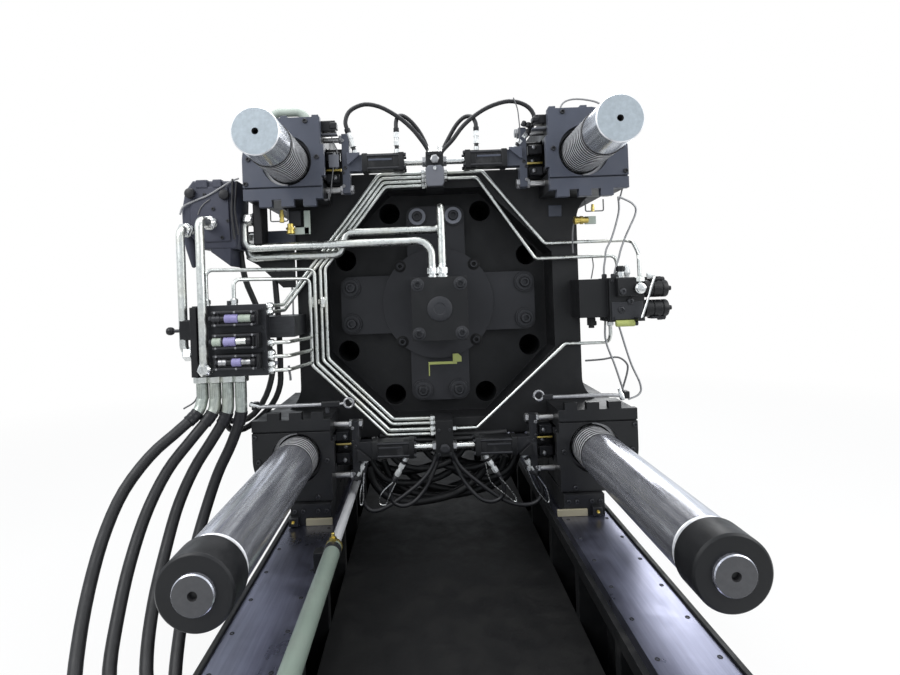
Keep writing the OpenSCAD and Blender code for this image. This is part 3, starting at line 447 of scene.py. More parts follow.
black, bedColor, slate = (0.0085, 0.0088, 0.0098), (0.0075, 0.0078, 0.0085), (0.062, 0.069, 0.092)
dust, bedDust, slateDust = (0.034, 0.034, 0.036), (0.035, 0.034, 0.031), (0.14, 0.14, 0.15)
finishes = {
    "castBlack": painted("castBlack", black, dust, 0.45, 0.5, 0.006, cast=1.0, upDust=0.25),
    "black": painted("blackPaint", black, dust, 0.3, 0.4, upDust=0.2),
    "bedBlack": painted("bedPaint", bedColor, bedDust, 0.5, 0.42, 0.005, upDust=0.3),
    "coverSlate": painted("coverPaint", slate, slateDust, 0.25, 0.4, 0.004, wear=(0.17, 0.17, 0.18),
                          behind=(-0.8635, black)),
    "slate": painted("slatePaint", slate, slateDust, 0.25, 0.4, 0.004, wear=(0.17, 0.17, 0.18)),
    "padSlate": painted("padPaint", (0.13, 0.135, 0.155), (0.17, 0.17, 0.18), 0.25, 0.42, 0.003),
    # A lighter copy of the pad paint for the upper washers on the ejector cross: painted light
    "padLight": painted("paintedLightPadPaint", (0.24, 0.25, 0.29), (0.3, 0.3, 0.32), 0.25, 0.42, 0.003),
    "padDark": painted("darkPadPaint", (0.026, 0.027, 0.031), (0.06, 0.06, 0.064), 0.3, 0.42, 0.003),
    "discDark": painted("discPaint", (0.021, 0.0215, 0.025), (0.05, 0.05, 0.055), 0.3, 0.38, 0.003),
    "slateCast": painted("slateCastPaint", (0.048, 0.054, 0.072), (0.12, 0.12, 0.13), 0.4, 0.45, 0.006,
                         cast=0.8),
    "violetCast": painted("violetCastPaint", (0.040, 0.043, 0.062), (0.12, 0.12, 0.14), 0.4, 0.42, 0.006,
                          cast=0.6),
    "green": painted("greenPaint", (0.17, 0.21, 0.18), (0.2, 0.2, 0.18), 0.35, 0.36, 0.003,
                     wear=(0.35, 0.35, 0.33)),
    "sageGreen": painted("sagePaint", (0.36, 0.41, 0.37), (0.5, 0.5, 0.47), 0.3, 0.45, 0.003,
                         wear=(0.55, 0.55, 0.52)),
    "rail": brushed("guideWay", (0.34, 0.35, 0.46), 0.27, (1, 0.05, 1), 60, 0.003),
    "bar": chromed("chromedBar", (0.93, 0.93, 0.95), (0.72, 0.73, 0.76), 0.3, 0.45),
    "barPlain": chromed("chromedBarEnd", (0.84, 0.87, 0.92), (0.5, 0.52, 0.58), 0.16, 0.72),
    "barLong": chromed("chromedLongBar", (0.86, 0.87, 0.93), (0.42, 0.43, 0.50), 0.17, 0.84,
                       (0.10, 0.10, 0.105)),
    # Near-black paint in the bars' grooves, end holes and step rings: painted shade
    "groove": brushed("grooveFloor", (0.016, 0.015, 0.017), 0.6, (1, 1, 1), 60, 0.001, 0.6, metallic=0.0),
    "driveSlate": driving("driveSlate", slate, black),
    "driveBlack": driving("driveBlack", (0.014, 0.0145, 0.017), black),
    "nut": brushed("milledSteel", (0.40, 0.40, 0.41), 0.34, (1, 0.1, 1), 80),
    "manifold": brushed("darkSteel", (0.035, 0.036, 0.041), 0.4, (0.2, 1, 1), 70, 0.003, 0.6, metallic=0.4),
    "zinc": zinced("zincPlate", (0.76, 0.78, 0.75), 0.3),
    "elbowZinc": zinced("elbowZinc", (0.46, 0.50, 0.46), 0.34, 60, 0.8, 0.15),
    "bright": zinced("brightFitting", (0.82, 0.83, 0.82), 0.22, 110),
    "whiteFitting": zinced("paleFitting", (0.78, 0.8, 0.8), 0.35, 90, 0.25, 0.1),
    "screw": brushed("blackScrew", (0.05, 0.051, 0.056), 0.36, (1, 1, 1), 200, 0.001, 0.6, metallic=0.7),
    "paleScrew": brushed("greyScrew", (0.3, 0.3, 0.31), 0.34, (1, 1, 1), 200, 0.001, 0.7, metallic=0.8),
    "brass": zinced("yellowZinc", (0.72, 0.56, 0.16), 0.34, 80),
    "paleGreen": painted("paleGreenPaint", (0.34, 0.39, 0.33), (0.6, 0.62, 0.55), 0.3, 0.4, 0.002,
                         wear=(0.6, 0.6, 0.55)),
    "yellowGreen": painted("yellowGreenPaint", (0.36, 0.40, 0.13), (0.3, 0.3, 0.2), 0.3, 0.4, 0.002,
                           wear=(0.5, 0.5, 0.4)),
    "beige": painted("wiperBeige", (0.27, 0.245, 0.17), (0.3, 0.28, 0.24), 0.35, 0.5, 0.002,
                     wear=(0.5, 0.48, 0.42)),
    "violet": painted("violetBand", (0.24, 0.22, 0.42), (0.5, 0.5, 0.6), 0.3, 0.35, 0.001,
                      wear=(0.55, 0.55, 0.6)),
    "rubber": rubbery("hoseRubber"),
    "thinHose": rubbery("thinHoseRubber", (0.013, 0.013, 0.015), 0.42),
    "plastic": painted("blackPlastic", (0.012, 0.012, 0.014), (0.03, 0.03, 0.032), 0.2, 0.34, 0.002,
                       wear=(0.04, 0.04, 0.045)),
    "greyCable": rubbery("greyCable", (0.13, 0.13, 0.135), 0.45),
    "paleCable": rubbery("paleCable", (0.3, 0.3, 0.31), 0.42),
    # A darker, less dusty copy of the bed paint for the floor inside the bed, under the platen: painted shade
    "floorBlack": painted("floorPaint", (0.0045, 0.0045, 0.005), (0.02, 0.02, 0.018), 0.35, 0.62, 0.003,
                          upDust=0.12),
    # Near-black paint round the disc screws and in the closed ejector holes: painted shade
    "dark": painted("paintedRecessShade", (0.004, 0.004, 0.0045), (0.01, 0.01, 0.01), 0.2, 0.6, 0.002),
}
print("finishes made:", len(finishes))

nodeFinish = {
    "castBlack": ["moving_platen", "stationary_platen"],
    "black": ["shoe_left", "shoe_right", "lock_housing_ll", "lock_housing_lr", "sync_block_top",
              "sync_block_bottom", "ejector_block", "end_cap_ll", "end_cap_lr", "manifold_right",
              "hose_bracket"],
    "discDark": ["ejector_plate"],
    "bedBlack": ["bed_frame"],
    "floorBlack": ["bed_floor"],
    "coverSlate": ["lock_housing_ul", "lock_housing_ur"],
    "slate": ["clamp_cylinder_ul", "clamp_cylinder_ur", "clamp_cylinder_ll", "clamp_cylinder_lr"],
    "driveSlate": ["lock_drive_ul", "lock_drive_ur"],
    "driveBlack": ["lock_drive_ll", "lock_drive_lr"],
    "rail": ["rail_left", "rail_right"],
    "bar": ["tie_bar_ul", "tie_bar_ur", "tie_bar_ll", "tie_bar_lr", "traverse_rod"],
    "nut": ["half_nut_ul", "half_nut_ur", "half_nut_ll", "half_nut_lr"],
    "green": ["traverse_cylinder"],
    "manifold": ["manifold_left", "valve_top", "valve_middle", "valve_bottom"],
    "violetCast": ["manifold_upper"],
    "zinc": ["pipes_upper_right", "pipes_lower_right", "pipes_left", "pipes_ejector", "pipes_side"],
    "rubber": ["hose_1", "hose_2", "hose_3", "hose_4"],
    "plastic": ["solenoid_upper", "solenoid_lower"],
}
for key, names in nodeFinish.items():
    for name in names:
        nodes[name].data.materials.clear()
        nodes[name].data.materials.append(finishes[key])


# Points from their numbers in millimetres, one after the other
def trail(*values, wide=3):
    return [tuple(place) for place in mm(*values).reshape(-1, wide).tolist()]


# Points at one depth from places across and up, all in millimetres
def level(y, *pairs):
    return [mm(x, y, z) for x, z in zip(pairs[::2], pairs[1::2])]


# A hose or cable along a smooth curve, as one tube; one on a single body is attached to that body
def hoseRun(name, route, diameter, finish, ends, count, sides, free=True, first=None, last=None,
        replaced=None):
    line = eased(route, count)
    tube = Surface()
    carried(tube, line, diameter / 2, sides, first, last)
    hose = tube.build(name, finishes[finish], slot="rubber")
    if ends[1]:
        ends[0]
        ends[1]
        route[0]
        route[-1]
        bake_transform(hose)
    else:
        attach(hose, ends[0])
    if replaced:
        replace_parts(hose, replaced)
    if free:
        route[0]


bedHoses = {
    "diameter": 0.05,
    "routes": [
        trail(-1132, -935, 1320, -1150, -958, 1258, -1215, -1025, 1190, -1305, -1100, 1105, -1385, -1180, 980,
              -1420, -1270, 840, -1420, -1380, 690, -1390, -1510, 540, -1330, -1640, 420, -1230, -1730, 340,
              -1120, -1768, 305, -1020, -1770, 300),
        trail(-1072, -935, 1320, -1086, -948, 1250, -1160, -1000, 1150, -1245, -1070, 1030, -1300, -1160, 880,
              -1315, -1280, 720, -1305, -1400, 570, -1275, -1520, 440, -1210, -1620, 355, -1120, -1672, 310,
              -1020, -1680, 300),
        trail(-1012, -935, 1320, -1022, -938, 1240, -1085, -960, 1130, -1157, -1000, 1010, -1205, -1070, 870,
              -1220, -1170, 720, -1215, -1290, 580, -1190, -1410, 450, -1145, -1510, 360, -1085, -1575, 312,
              -1020, -1590, 300),
        trail(-952, -935, 1320, -958, -932, 1230, -1008, -925, 1100, -1070, -940, 970, -1110, -990, 830,
              -1130, -1080, 690, -1130, -1190, 550, -1115, -1300, 430, -1090, -1400, 350, -1060, -1470, 310,
              -1020, -1500, 300),
    ],
}
for number, route in enumerate(bedHoses["routes"], 1):
    hoseRun(f"hoseToBed{number}", route, bedHoses["diameter"], "rubber", ("platen", "bed"), 37, 20,
            first=minusZ, last=plusX, replaced=f"hose_{number}")

# Hoses of the locking cylinders: from the fitting on a cylinder over to the middle block above,
# and down in an arc under the middle below
cylinderHoses = {
    "diameter": 0.021,
    "runs": {
        "lockHoseUpperLeftOuter": ("lock_ul", trail(-389, -790, 2474, -427, -790, 2600, -434, -790, 2640,
            -418, -790, 2683, -380, -790, 2710, -325, -790, 2722, -252, -790, 2703, -167, -790, 2650,
            -107, -785, 2596, -66, -780, 2545, -36, -775, 2500, -22, -772, 2470)),
        "lockHoseUpperLeftInner": ("lock_ul", trail(-184, -790, 2474, -184, -790, 2580, -184, -785, 2628,
            -172, -765, 2665, -142, -735, 2672, -100, -715, 2640, -60, -700, 2585, -28, -690, 2510,
            -18, -690, 2450, -18, -690, 2406)),
        "lockHoseUpperRightOuter": ("lock_ur", trail(394, -790, 2474, 470, -790, 2562, 494, -790, 2590,
            502, -790, 2632, 480, -790, 2674, 437, -790, 2701, 384, -790, 2712, 325, -790, 2703,
            257, -790, 2677, 190, -790, 2634, 140, -785, 2590, 96, -780, 2535, 60, -775, 2500,
            30, -772, 2470)),
        "lockHoseUpperRightInner": ("lock_ur", trail(210, -790, 2474, 212, -790, 2580, 209, -785, 2618,
            190, -768, 2650, 158, -740, 2655, 120, -720, 2625, 80, -700, 2565, 44, -690, 2500, 24, -690, 2450,
            24, -690, 2406)),
        "lockHoseLowerLeftOuter": ("lock_ll", trail(-387, -790, 966, -402, -790, 905, -412, -790, 845,
            -413, -790, 785, -404, -790, 735, -370, -788, 706, -310, -785, 716, -227, -780, 762,
            -129, -775, 833, -70, -770, 900, -40, -765, 970)),
        "lockHoseLowerLeftInner": ("lock_ll", trail(-192, -790, 966, -252, -790, 860, -276, -790, 800,
            -268, -785, 748, -220, -780, 722, -160, -770, 738, -100, -750, 800, -50, -720, 890,
            -26, -700, 960, -24, -690, 1034)),
        "lockHoseLowerRightOuter": ("lock_lr", trail(387, -790, 966, 446, -790, 864, 470, -790, 806,
            474, -790, 756, 440, -785, 716, 380, -780, 706, 310, -778, 722, 230, -775, 770, 130, -770, 850,
            70, -768, 910, 40, -765, 970)),
        "lockHoseLowerRightInner": ("lock_lr", trail(198, -790, 966, 263, -790, 864, 286, -790, 804,
            276, -785, 752, 226, -780, 728, 166, -770, 744, 106, -750, 806, 54, -720, 894, 28, -700, 964,
            24, -690, 1034)),
    },
}
for name, (body, route) in cylinderHoses["runs"].items():
    hoseRun(name, route, cylinderHoses["diameter"], "thinHose", (body, "platen"), 33, 14)

# Two thick hoses behind the left manifold, from the upper casting round below to its back face
backHoses = {
    "diameter": 0.03,
    "runs": {
        "backHoseLeft": trail(-1005, -700, 2030, -1000, -695, 1950, -985, -690, 1863, -948, -670, 1751,
            -905, -650, 1600, -878, -650, 1440, -888, -660, 1340, -925, -680, 1245, -985, -710, 1175,
            -1050, -750, 1165, -1095, -790, 1210, -1108, -820, 1290, -1106, -845, 1380, -1100, -872, 1455,
            -1100, -900, 1500),
        "backHoseRight": trail(-850, -665, 2055, -848, -660, 1960, -845, -652, 1821, -839, -650, 1700,
            -836, -650, 1560, -836, -650, 1410, -842, -650, 1320, -878, -660, 1235, -945, -680, 1165,
            -1010, -710, 1120, -1060, -760, 1125, -1075, -805, 1180, -1062, -840, 1280, -1050, -862, 1390,
            -1045, -880, 1455, -1045, -900, 1490),
    },
}
for name, route in backHoses["runs"].items():
    hoseRun(name, route, backHoses["diameter"], "rubber", ("platen", None), 39, 16)

# Cables, slings, tubes and thin hoses by body: finish, radius, depth, and places across and up, in
# millimetres
cables = {
    "lock_ll": {
        "slingLowerLeftOuter": ("bright", 3, -812, -401, 905, -406, 840, -409, 780, -416, 748, -426, 752,
            -424, 800, -412, 850),
        "slingLowerLeftInner": ("bright", 3, -812, -247, 848, -283, 781, -300, 744, -330, 749, -318, 800,
            -262, 852),
    },
    "lock_lr": {
        "slingLowerRightInner": ("bright", 3, -812, 196, 933, 219, 839, 283, 777, 335, 735, 342, 755,
            304, 810, 263, 858),
        "slingLowerRightOuter": ("bright", 3, -812, 401, 899, 431, 818, 462, 764, 494, 726, 505, 743,
            490, 796, 452, 857),
    },
    "lock_ur": {
        "cableUpperRightDrive": ("greyCable", 2.8, -815, 398, 2720, 415, 2668, 421, 2614, 424, 2549,
            418, 2500),
    },
    "platen": {
        "cableSensorLeftUpper": ("greyCable", 3, -830, -500, 2580, -496, 2539, -480, 2502, -472, 2465),
        "cableSensorLeftLower": ("greyCable", 3, -832, -495, 2412, -503, 2357, -511, 2303, -517, 2262),
        "cableOverRightHousing": ("paleCable", 4.5, -800, 623, 2618, 626, 2650, 645, 2690, 693, 2707,
            765, 2701, 825, 2680, 856, 2630, 862, 2590),
        "cableBesideRightHousing": ("greyCable", 3.5, -800, 562, 2604, 590, 2636, 618, 2645, 650, 2636,
            664, 2618),
        "cableUnderRightHousing": ("greyCable", 4, -752, 692, 2108, 683, 2058, 680, 1990, 681, 1950),
        "cableDownLeft": ("paleCable", 4.5, -660, -762, 2080, -762, 2038, -763, 1904, -756, 1769, -760, 1586),
        "cableRightColumn": ("greyCable", 4, -700, 950, 2344, 967, 2313, 953, 2254, 939, 2212),
        "tubeRightOuter": ("nut", 5, -712, 935, 2232, 1005, 2193, 1019, 2150, 985, 2075, 962, 2028, 935, 1961,
            923, 1918, 906, 1870, 893, 1820),
        "tubeRightInner": ("nut", 5, -712, 932, 2232, 932, 2155, 894, 2030, 861, 1964, 855, 1921, 846, 1870,
            845, 1820),
        "cableRightThin": ("greyCable", 3, -700, 792, 1930, 796, 1886, 790, 1850, 783, 1819),
        "tubeBelowRightInner": ("nut", 5, -705, 845, 1600, 845, 1498, 887, 1371, 929, 1228),
        "tubeBelowRightOuter": ("nut", 5, -705, 907, 1600, 966, 1389, 1012, 1275, 1006, 1222, 949, 1196),
        "cableArcRight": ("greyCable", 5, -650, 752, 1394, 841, 1398, 920, 1406, 966, 1373, 969, 1331,
            940, 1238),
        "cableBelowPlate": ("greyCable", 4, -880, -1091, 1425, -1125, 1390, -1163, 1362, -1192, 1298,
            -1248, 1263),
        "stripedSleeve": ("paleCable", 6, -660, -790, 1425, -788, 1400, -784, 1370, -783, 1348),
        "cableCastingTop": ("paleCable", 4.5, -862, -1240, 2197, -1222, 2236, -1163, 2263, -1105, 2284,
            -1046, 2316, -988, 2349, -950, 2362),
        "cableCastingThin": ("greyCable", 3, -860, -1154, 2194, -1140, 2225, -1120, 2248, -1094, 2266),
        "cableCastingBlackA": ("thinHose", 6, -862, -979, 2360, -984, 2290, -990, 2200, -986, 2130,
            -981, 2069),
        "cableCastingBlackB": ("thinHose", 5, -858, -962, 2350, -968, 2290, -975, 2210, -968, 2140,
            -962, 2090),
        "bundleK": ("rubber", 15, -643, -330, 1036, -220, 1032, -110, 1036, 0, 1033, 110, 1036, 220, 1032,
            330, 1036),
        "bundleL": ("rubber", 14, -670, -330, 1018, -220, 1014, -110, 1017, 0, 1014, 110, 1017, 220, 1014,
            330, 1018),
        "bundleE": ("rubber", 16, -610, -300, 1030, -296, 960, -230, 880, -120, 850, 0, 870, 90, 930,
            130, 1030),
        "bundleF": ("rubber", 16, -590, -120, 1030, -90, 930, 20, 850, 150, 840, 260, 880, 310, 960,
            316, 1030),
        "bundleG": ("rubber", 18, -560, -400, 1030, -394, 900, -320, 790, -180, 760, -20, 790, 60, 860,
            70, 1030),
        "bundleH": ("rubber", 18, -530, -40, 1030, -20, 880, 90, 790, 220, 760, 340, 800, 396, 900,
            404, 1030),
        "bundleI": ("rubber", 22, -470, -440, 1030, -430, 900, -330, 820, -160, 800, 0, 860, 60, 1030),
        "bundleJ": ("rubber", 22, -430, -60, 1030, 20, 880, 160, 810, 330, 820, 430, 900, 440, 1030),
        "bundleA": ("rubber", 22, -560, -400, 860, -372, 760, -300, 690, -190, 660, -60, 670, 60, 700,
            170, 770, 240, 860),
        "bundleB": ("rubber", 20, -500, -330, 870, -290, 770, -200, 700, -80, 668, 60, 668, 200, 700,
            300, 780, 340, 870),
        "bundleC": ("rubber", 24, -440, -240, 870, -200, 790, -120, 720, 0, 680, 130, 668, 260, 690, 360, 760,
            410, 860),
        "bundleD": ("rubber", 20, -380, -410, 850, -390, 750, -320, 680, -200, 650, -40, 655, 100, 690,
            180, 760, 200, 860),
    },
}
for body, lines in cables.items():
    for name, (finish, radius, y, *places) in lines.items():
        sides = 8 if radius < 10 else 16
        hoseRun(name, level(y, *places), radius / 500, finish, (body, None), 29, sides, free=False)
print("hoses made")

mid = sum(float(corner[2]) for name in ("tie_bar_ul", "tie_bar_ll") for corner in corners(name)) / 4
barX = float(sum(corners("tie_bar_ur"))[0]) / 2
quadrants = {"ul": (-1, 1), "ur": (1, 1), "ll": (-1, -1), "lr": (1, -1)}
signs = [(sx, sz) for sx in (-1, 1) for sz in (-1, 1)]


# A place given in millimetres for the upper right corner, mirrored to another corner
def mirrored(corner, x, y, z):
    sx, sz = quadrants[corner]
    return vec(sx * x / 1000, y / 1000, mid + sz * (z / 1000 - mid))


# Surfaces of one group, one for each finish, built as the group's name plus the finish
class Group:

    def __init__(self, name, body="platen", smooth=40):
        self.name, self.body, self.smooth, self.made = name, body, smooth, {}

    def __getitem__(self, finish):
        return self.made.setdefault(finish, Surface())

    # A block between two places across, two along and two up, in millimetres like its edge
    def block(self, finish, x0, x1, y0, y1, z0, z1, edge):
        cornered(self[finish], mm(x0, y0, z0), mm(x1, y1, z1), edge / 1000)

    def blocks(self, rows):
        for row in rows:
            self.block(*row)

    def build(self, stands=(), slot=None):
        names = {finish: self.name + finish[0].upper() + finish[1:] for finish in self.made}
        out = [surface.build(names[finish], finishes[finish], self.smooth, self.body, slot)
               for finish, surface in self.made.items()]
        if stands:
            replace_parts(out[0], *stands)


bars = {"depth": 5, "pitch": 25, "teethFrom": -600, "lowerTo": -1030, "chamfer": 4, "hole": 11,
    "holeDepth": 40, "sides": 96, "plainTo": -1204, "plain": 95, "stub": 58, "capFront": -1978,
    "capRing": 0.082}


# Radius against distance of the grooved stretch: crests and square grooves in turn, grooves dark as painted
# shade
def grooves(start, stop, radius, crest):
    rows, kinds = [], []
    low, p = radius - bars["depth"], bars["pitch"]
    for s in np.arange(start, stop, p):
        rows += [(s, radius), (s + 0.06 * p, low), (s + 0.46 * p, low), (s + 0.52 * p, radius)]
        kinds += [1, 1, 1, crest]
    return rows, kinds


# Each bar by rows from its free end, in millimetres, with one finish for each stretch between rows
for corner in quadrants:
    upper = corner[0] == "u"
    lo, hi = (1000 * place for place in corners("tie_bar_" + corner))
    radius = (hi[0] - lo[0]) / 2
    middle = (lo + hi) / 2000 * (1, 0, 1)
    back, front, hole, stub = lo[1], hi[1], bars["hole"], bars["stub"]
    # Kind 1 takes the near-black groove paint as painted shade: the end hole, the upper bars' step ring, the
    # grooves
    rows = [(back + bars["holeDepth"], hole * 0.8), (back + 5, hole), (back, hole + 2.5)]
    if upper:
        c, to, plain = bars["chamfer"], bars["plainTo"], bars["plain"]
        start = to + 8
        rows += [(back, plain - c), (back + c, plain), (to, plain), (to, radius - 3), (to + 3, radius)]
        kinds = [1, 1, 0, 0, 2, 1, 1, 0]
    else:
        to, start = bars["capFront"], bars["lowerTo"]
        rows += [(back, stub - 3), (back + 3, stub), (to - 4, stub), (to, radius - 10), (to + 4, radius - 2),
                 (to + 22, radius - 2), (to + 24, radius), (start - 1, radius)]
        kinds = [1, 1, 0, 0, 0, 0, 0, 2, 2, 0, 0]
    toothed, bands = grooves(start, bars["teethFrom"], radius, 0 if upper else 2)
    rows += toothed + [(front - 2, radius), (front, radius - 2), (front, 20)]
    bar = Surface()
    turned(bar, rows, middle, plusY, bars["sides"], kinds + bands + [0, 0])
    steel = ("bar", "groove", "barPlain") if upper else ("barLong", "groove", "bar")
    made = bar.build("tieBar_" + corner, [finishes[key] for key in steel], 30, "bed", "bar_steel")
    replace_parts(made, "tie_bar_" + corner)
    if not upper:
        cap = Group("endCap_" + corner, "bed", 30)
        lo, hi = (1000 * place for place in corners("end_cap_" + corner))
        r = (hi[0] - lo[0]) / 2
        y0, y1 = lo[1], hi[1]
        rows = [(y0, stub + 0.5), (y0, r - 6), (y0 + 6, r), (y1 - 6, r), (y1, r - 6), (y1, stub + 0.5)]
        turned(cap["black"], rows, middle, plusY, 72)
        for at in ringPlaces(middle, bars["capRing"], lo[1] / 1000 + 0.006, 8, 0.39):
            capScrew(cap["screw"], at, minusY, 10, 4, 16)
        cap.build(["end_cap_" + corner], "black_paint")
print("tie bars made")

leftBundle = {"from": (-184, 705), "step": 34, "slope": 1.263, "level": (612, 22), "low": (-592, 25),
              "column": (-582, 26), "end": (-265, 10), "y": -665, "sideY": -935, "plateX": -815}


# The n-th pipe of the left bundle: its slanted stretch by height or by place across
def slantAt(n, h=None, x=None):
    base = leftBundle["from"][1] + leftBundle["step"] * n
    if x is None:
        return leftBundle["from"][0] - (base - h) / leftBundle["slope"]
    return base - leftBundle["slope"] * (leftBundle["from"][0] - x)


# Its upper and lower level, its column across, where the column ends, and where the foot meets the level
def bundleRun(n):
    top, low, column, end = (leftBundle[key][0] + way * leftBundle[key][1] * n
                             for key, way in (("level", 1), ("low", -1), ("column", -1), ("end", -1)))
    return top, low, column, end, column + end - low


# Points from places across, along and above the machine's middle, in millimetres
def aboveMid(places):
    return [vec(x / 1000, y / 1000, mid + h / 1000) for x, y, h in places]


# Places across, along and above the middle from numbers across, along and up
def risen(*values):
    return [(x, y, z - mid * 1000) for x, y, z in zip(values[::3], values[1::3], values[2::3])]


thin, thick = 9, 20
y, sideY, plateX = leftBundle["y"], leftBundle["sideY"], leftBundle["plateX"]
inner, side, behind = [], [], []
for n in range(4):
    top, low, column, end, bottom = bundleRun(n)
    head = [(-43, y, top), (slantAt(n, h=top), y, top)]
    if n < 2:
        tail = [(column, y, slantAt(n, x=column)), (column, y, end), (bottom, y, low), (-43, y, low)]
        inner.append((head + tail, 40, 14, 14))
        continue
    h = (-6, 22)[n - 2]
    x = slantAt(n, h=h)
    side.append((head + [(x, y, h), (x, sideY, h), (plateX, sideY, h)], [40, 8, 8], 14, 15))
    x, h = ((-1098, 200), (-969, 152))[n - 2]
    over = y - 24
    head = [(x, sideY, 33), (x, sideY, h), (column, over, h)]
    behind.append((head + [(column, over, end), (bottom, over, low), (-43, over, low)], 30, 16, 14))
short = [([(plateX, sideY, h), (-720, sideY, h), (-662, -694, h)], 20, 15, 0) for h in (-150, -215, -280)]

# Pipes by group: radius, then for each its places, its bends and the sizes of the nuts at its two ends
pipes = {
    "pipes_left": (thin, inner + side + behind + short),
    "pipes_upper_right": (thin, [
        (risen(43, y, 2397, 248, y, 2397, 558, y, 2012, 1010, y, 2012, 970, -855, 1928, 970, -855, 1764,
               970, -830, 1764), [24, 24, 40, 40, 12], 14, 0),
        (risen(43, y, 2365, 219, y, 2365, 508, y, 1934, 918, y, 1934, 918, -700, 1892, 918, -700, 1818),
         24, 14, 15),
    ]),
    "pipes_lower_right": (thin, [
        (risen(43, y, 1070, 175, y, 1070, 645, y, 1488, 872, y, 1488, 872, -700, 1530, 872, -700, 1602),
         24, 14, 15),
    ]),
    "pipes_side": (thick, [
        (risen(-1211, -850, 2120, -1211, sideY, 2120, -1211, sideY, 1530, -1158, sideY, 1530), 42, 28, 29),
        (risen(-1094, -850, 2150, -1094, -1000, 2150, -1094, -1000, 1460, -1094, -960, 1460), 38, 28, 29),
    ]),
    "pipes_ejector": (thick, [
        (risen(-910, -768, 2172, -962, -768, 2172, -962, -768, 2032, -30, -768, 2038, -30, -768, 1854),
         [42, 42, 75], 28, 0),
        (risen(-910, -698, 2082, -962, -698, 2082, -962, -698, 1988, -500, -698, 1990, -462, -698, 2098,
               22, -698, 2100, 22, -698, 2205, 22, -768, 2205, 22, -768, 1854), 34, 28, 0),
    ]),
    "conduit_left": (21, [
        (risen(-642, -700, 2618, -642, -700, 2724, -832, -700, 2724, -832, -700, 2578), 56, 0, 0),
    ]),
}
for name, (radius, runs) in pipes.items():
    first, *rest = name.split("_")
    group = Group(first + "".join(word.capitalize() for word in rest), smooth=35)
    conduit = name == "conduit_left"
    for places, bend, *nuts in runs:
        ends = aboveMid(places)
        line = bent(ends, np.asarray(bend) / 1000, 9)
        carried(group["sageGreen" if conduit else "zinc"], line, radius / 1000, 20 if radius > 15 else 14)
        for size, at, after in zip(nuts, (ends[0], ends[-1]), (ends[1], ends[-2])):
            if size:
                union(group["bright"], at, unit(after - at), size / 1.62, size * 1.9)
    if name == "pipes_upper_right":
        turned(group["bright"], [(0, 22), (5, 26), (16, 26), (18, 21, 1), (28, 21, 1), (31, 14), (31, 6)],
               mm(962, -872, 1763), minusY, 28)
        turned(group["zinc"], [(0, 21, 1), (20, 21, 1), (24, 16), (24, 9)], mm(970, -855, 1796), plusZ, 24)
    group.build([name], "green_paint" if conduit else "zinc")
print("pipes made")

# Lock covers: mounting screws, two small blocks on the inner edge and, above, tabs on the top edge
covers = {"screws": [(906, 2324), (890, 2442), (564, 2443), (614, 2616)], "screwY": -900,
          "tabs": [(699, 732), (550, 582)], "blocks": (2360, 2500)}
for corner in quadrants:
    group = Group("lockCover_" + corner)
    for x, z in covers["screws"]:
        capScrew(group["screw"], mirrored(corner, x, covers["screwY"], z), minusY, 11.5, 8, 18)
    if corner[0] == "u":
        for x0, x1 in covers["tabs"]:
            lo, hi = mirrored(corner, x0, -898, 2600), mirrored(corner, x1, -870, 2646)
            cornered(group["slate"], lo, hi, 0.002)
    for z in covers["blocks"]:
        lo, hi = mirrored(corner, 535, -862, z - 14), mirrored(corner, 552, -800, z + 14)
        cornered(group["plastic"], lo, hi, 0.002)
    group.build()
print("covers finished")

# Guides of the rods inside the covers' inner windows, with their stop screws
for corner in quadrants:
    group = Group("rodGuide_" + corner)
    cornered(group["black"], mirrored(corner, 466, -716, 2336), mirrored(corner, 545, -652, 2524), 0.003)
    cornered(group["plastic"], mirrored(corner, 472, -760, 2452), mirrored(corner, 545, -716, 2500), 0.004)
    cornered(group["padDark"], mirrored(corner, 480, -748, 2350), mirrored(corner, 545, -716, 2392), 0.003)
    for y, z in ((-748, 2372), (-716, 2428), (-760, 2486)):
        hexHead(group["nut"], mirrored(corner, 500, y, z), minusY, 10, 9, 18)
    carried(group["brass"], [mirrored(corner, 470, -738, 2412), mirrored(corner, 545, -738, 2412)], 0.007, 12)
    group.build()

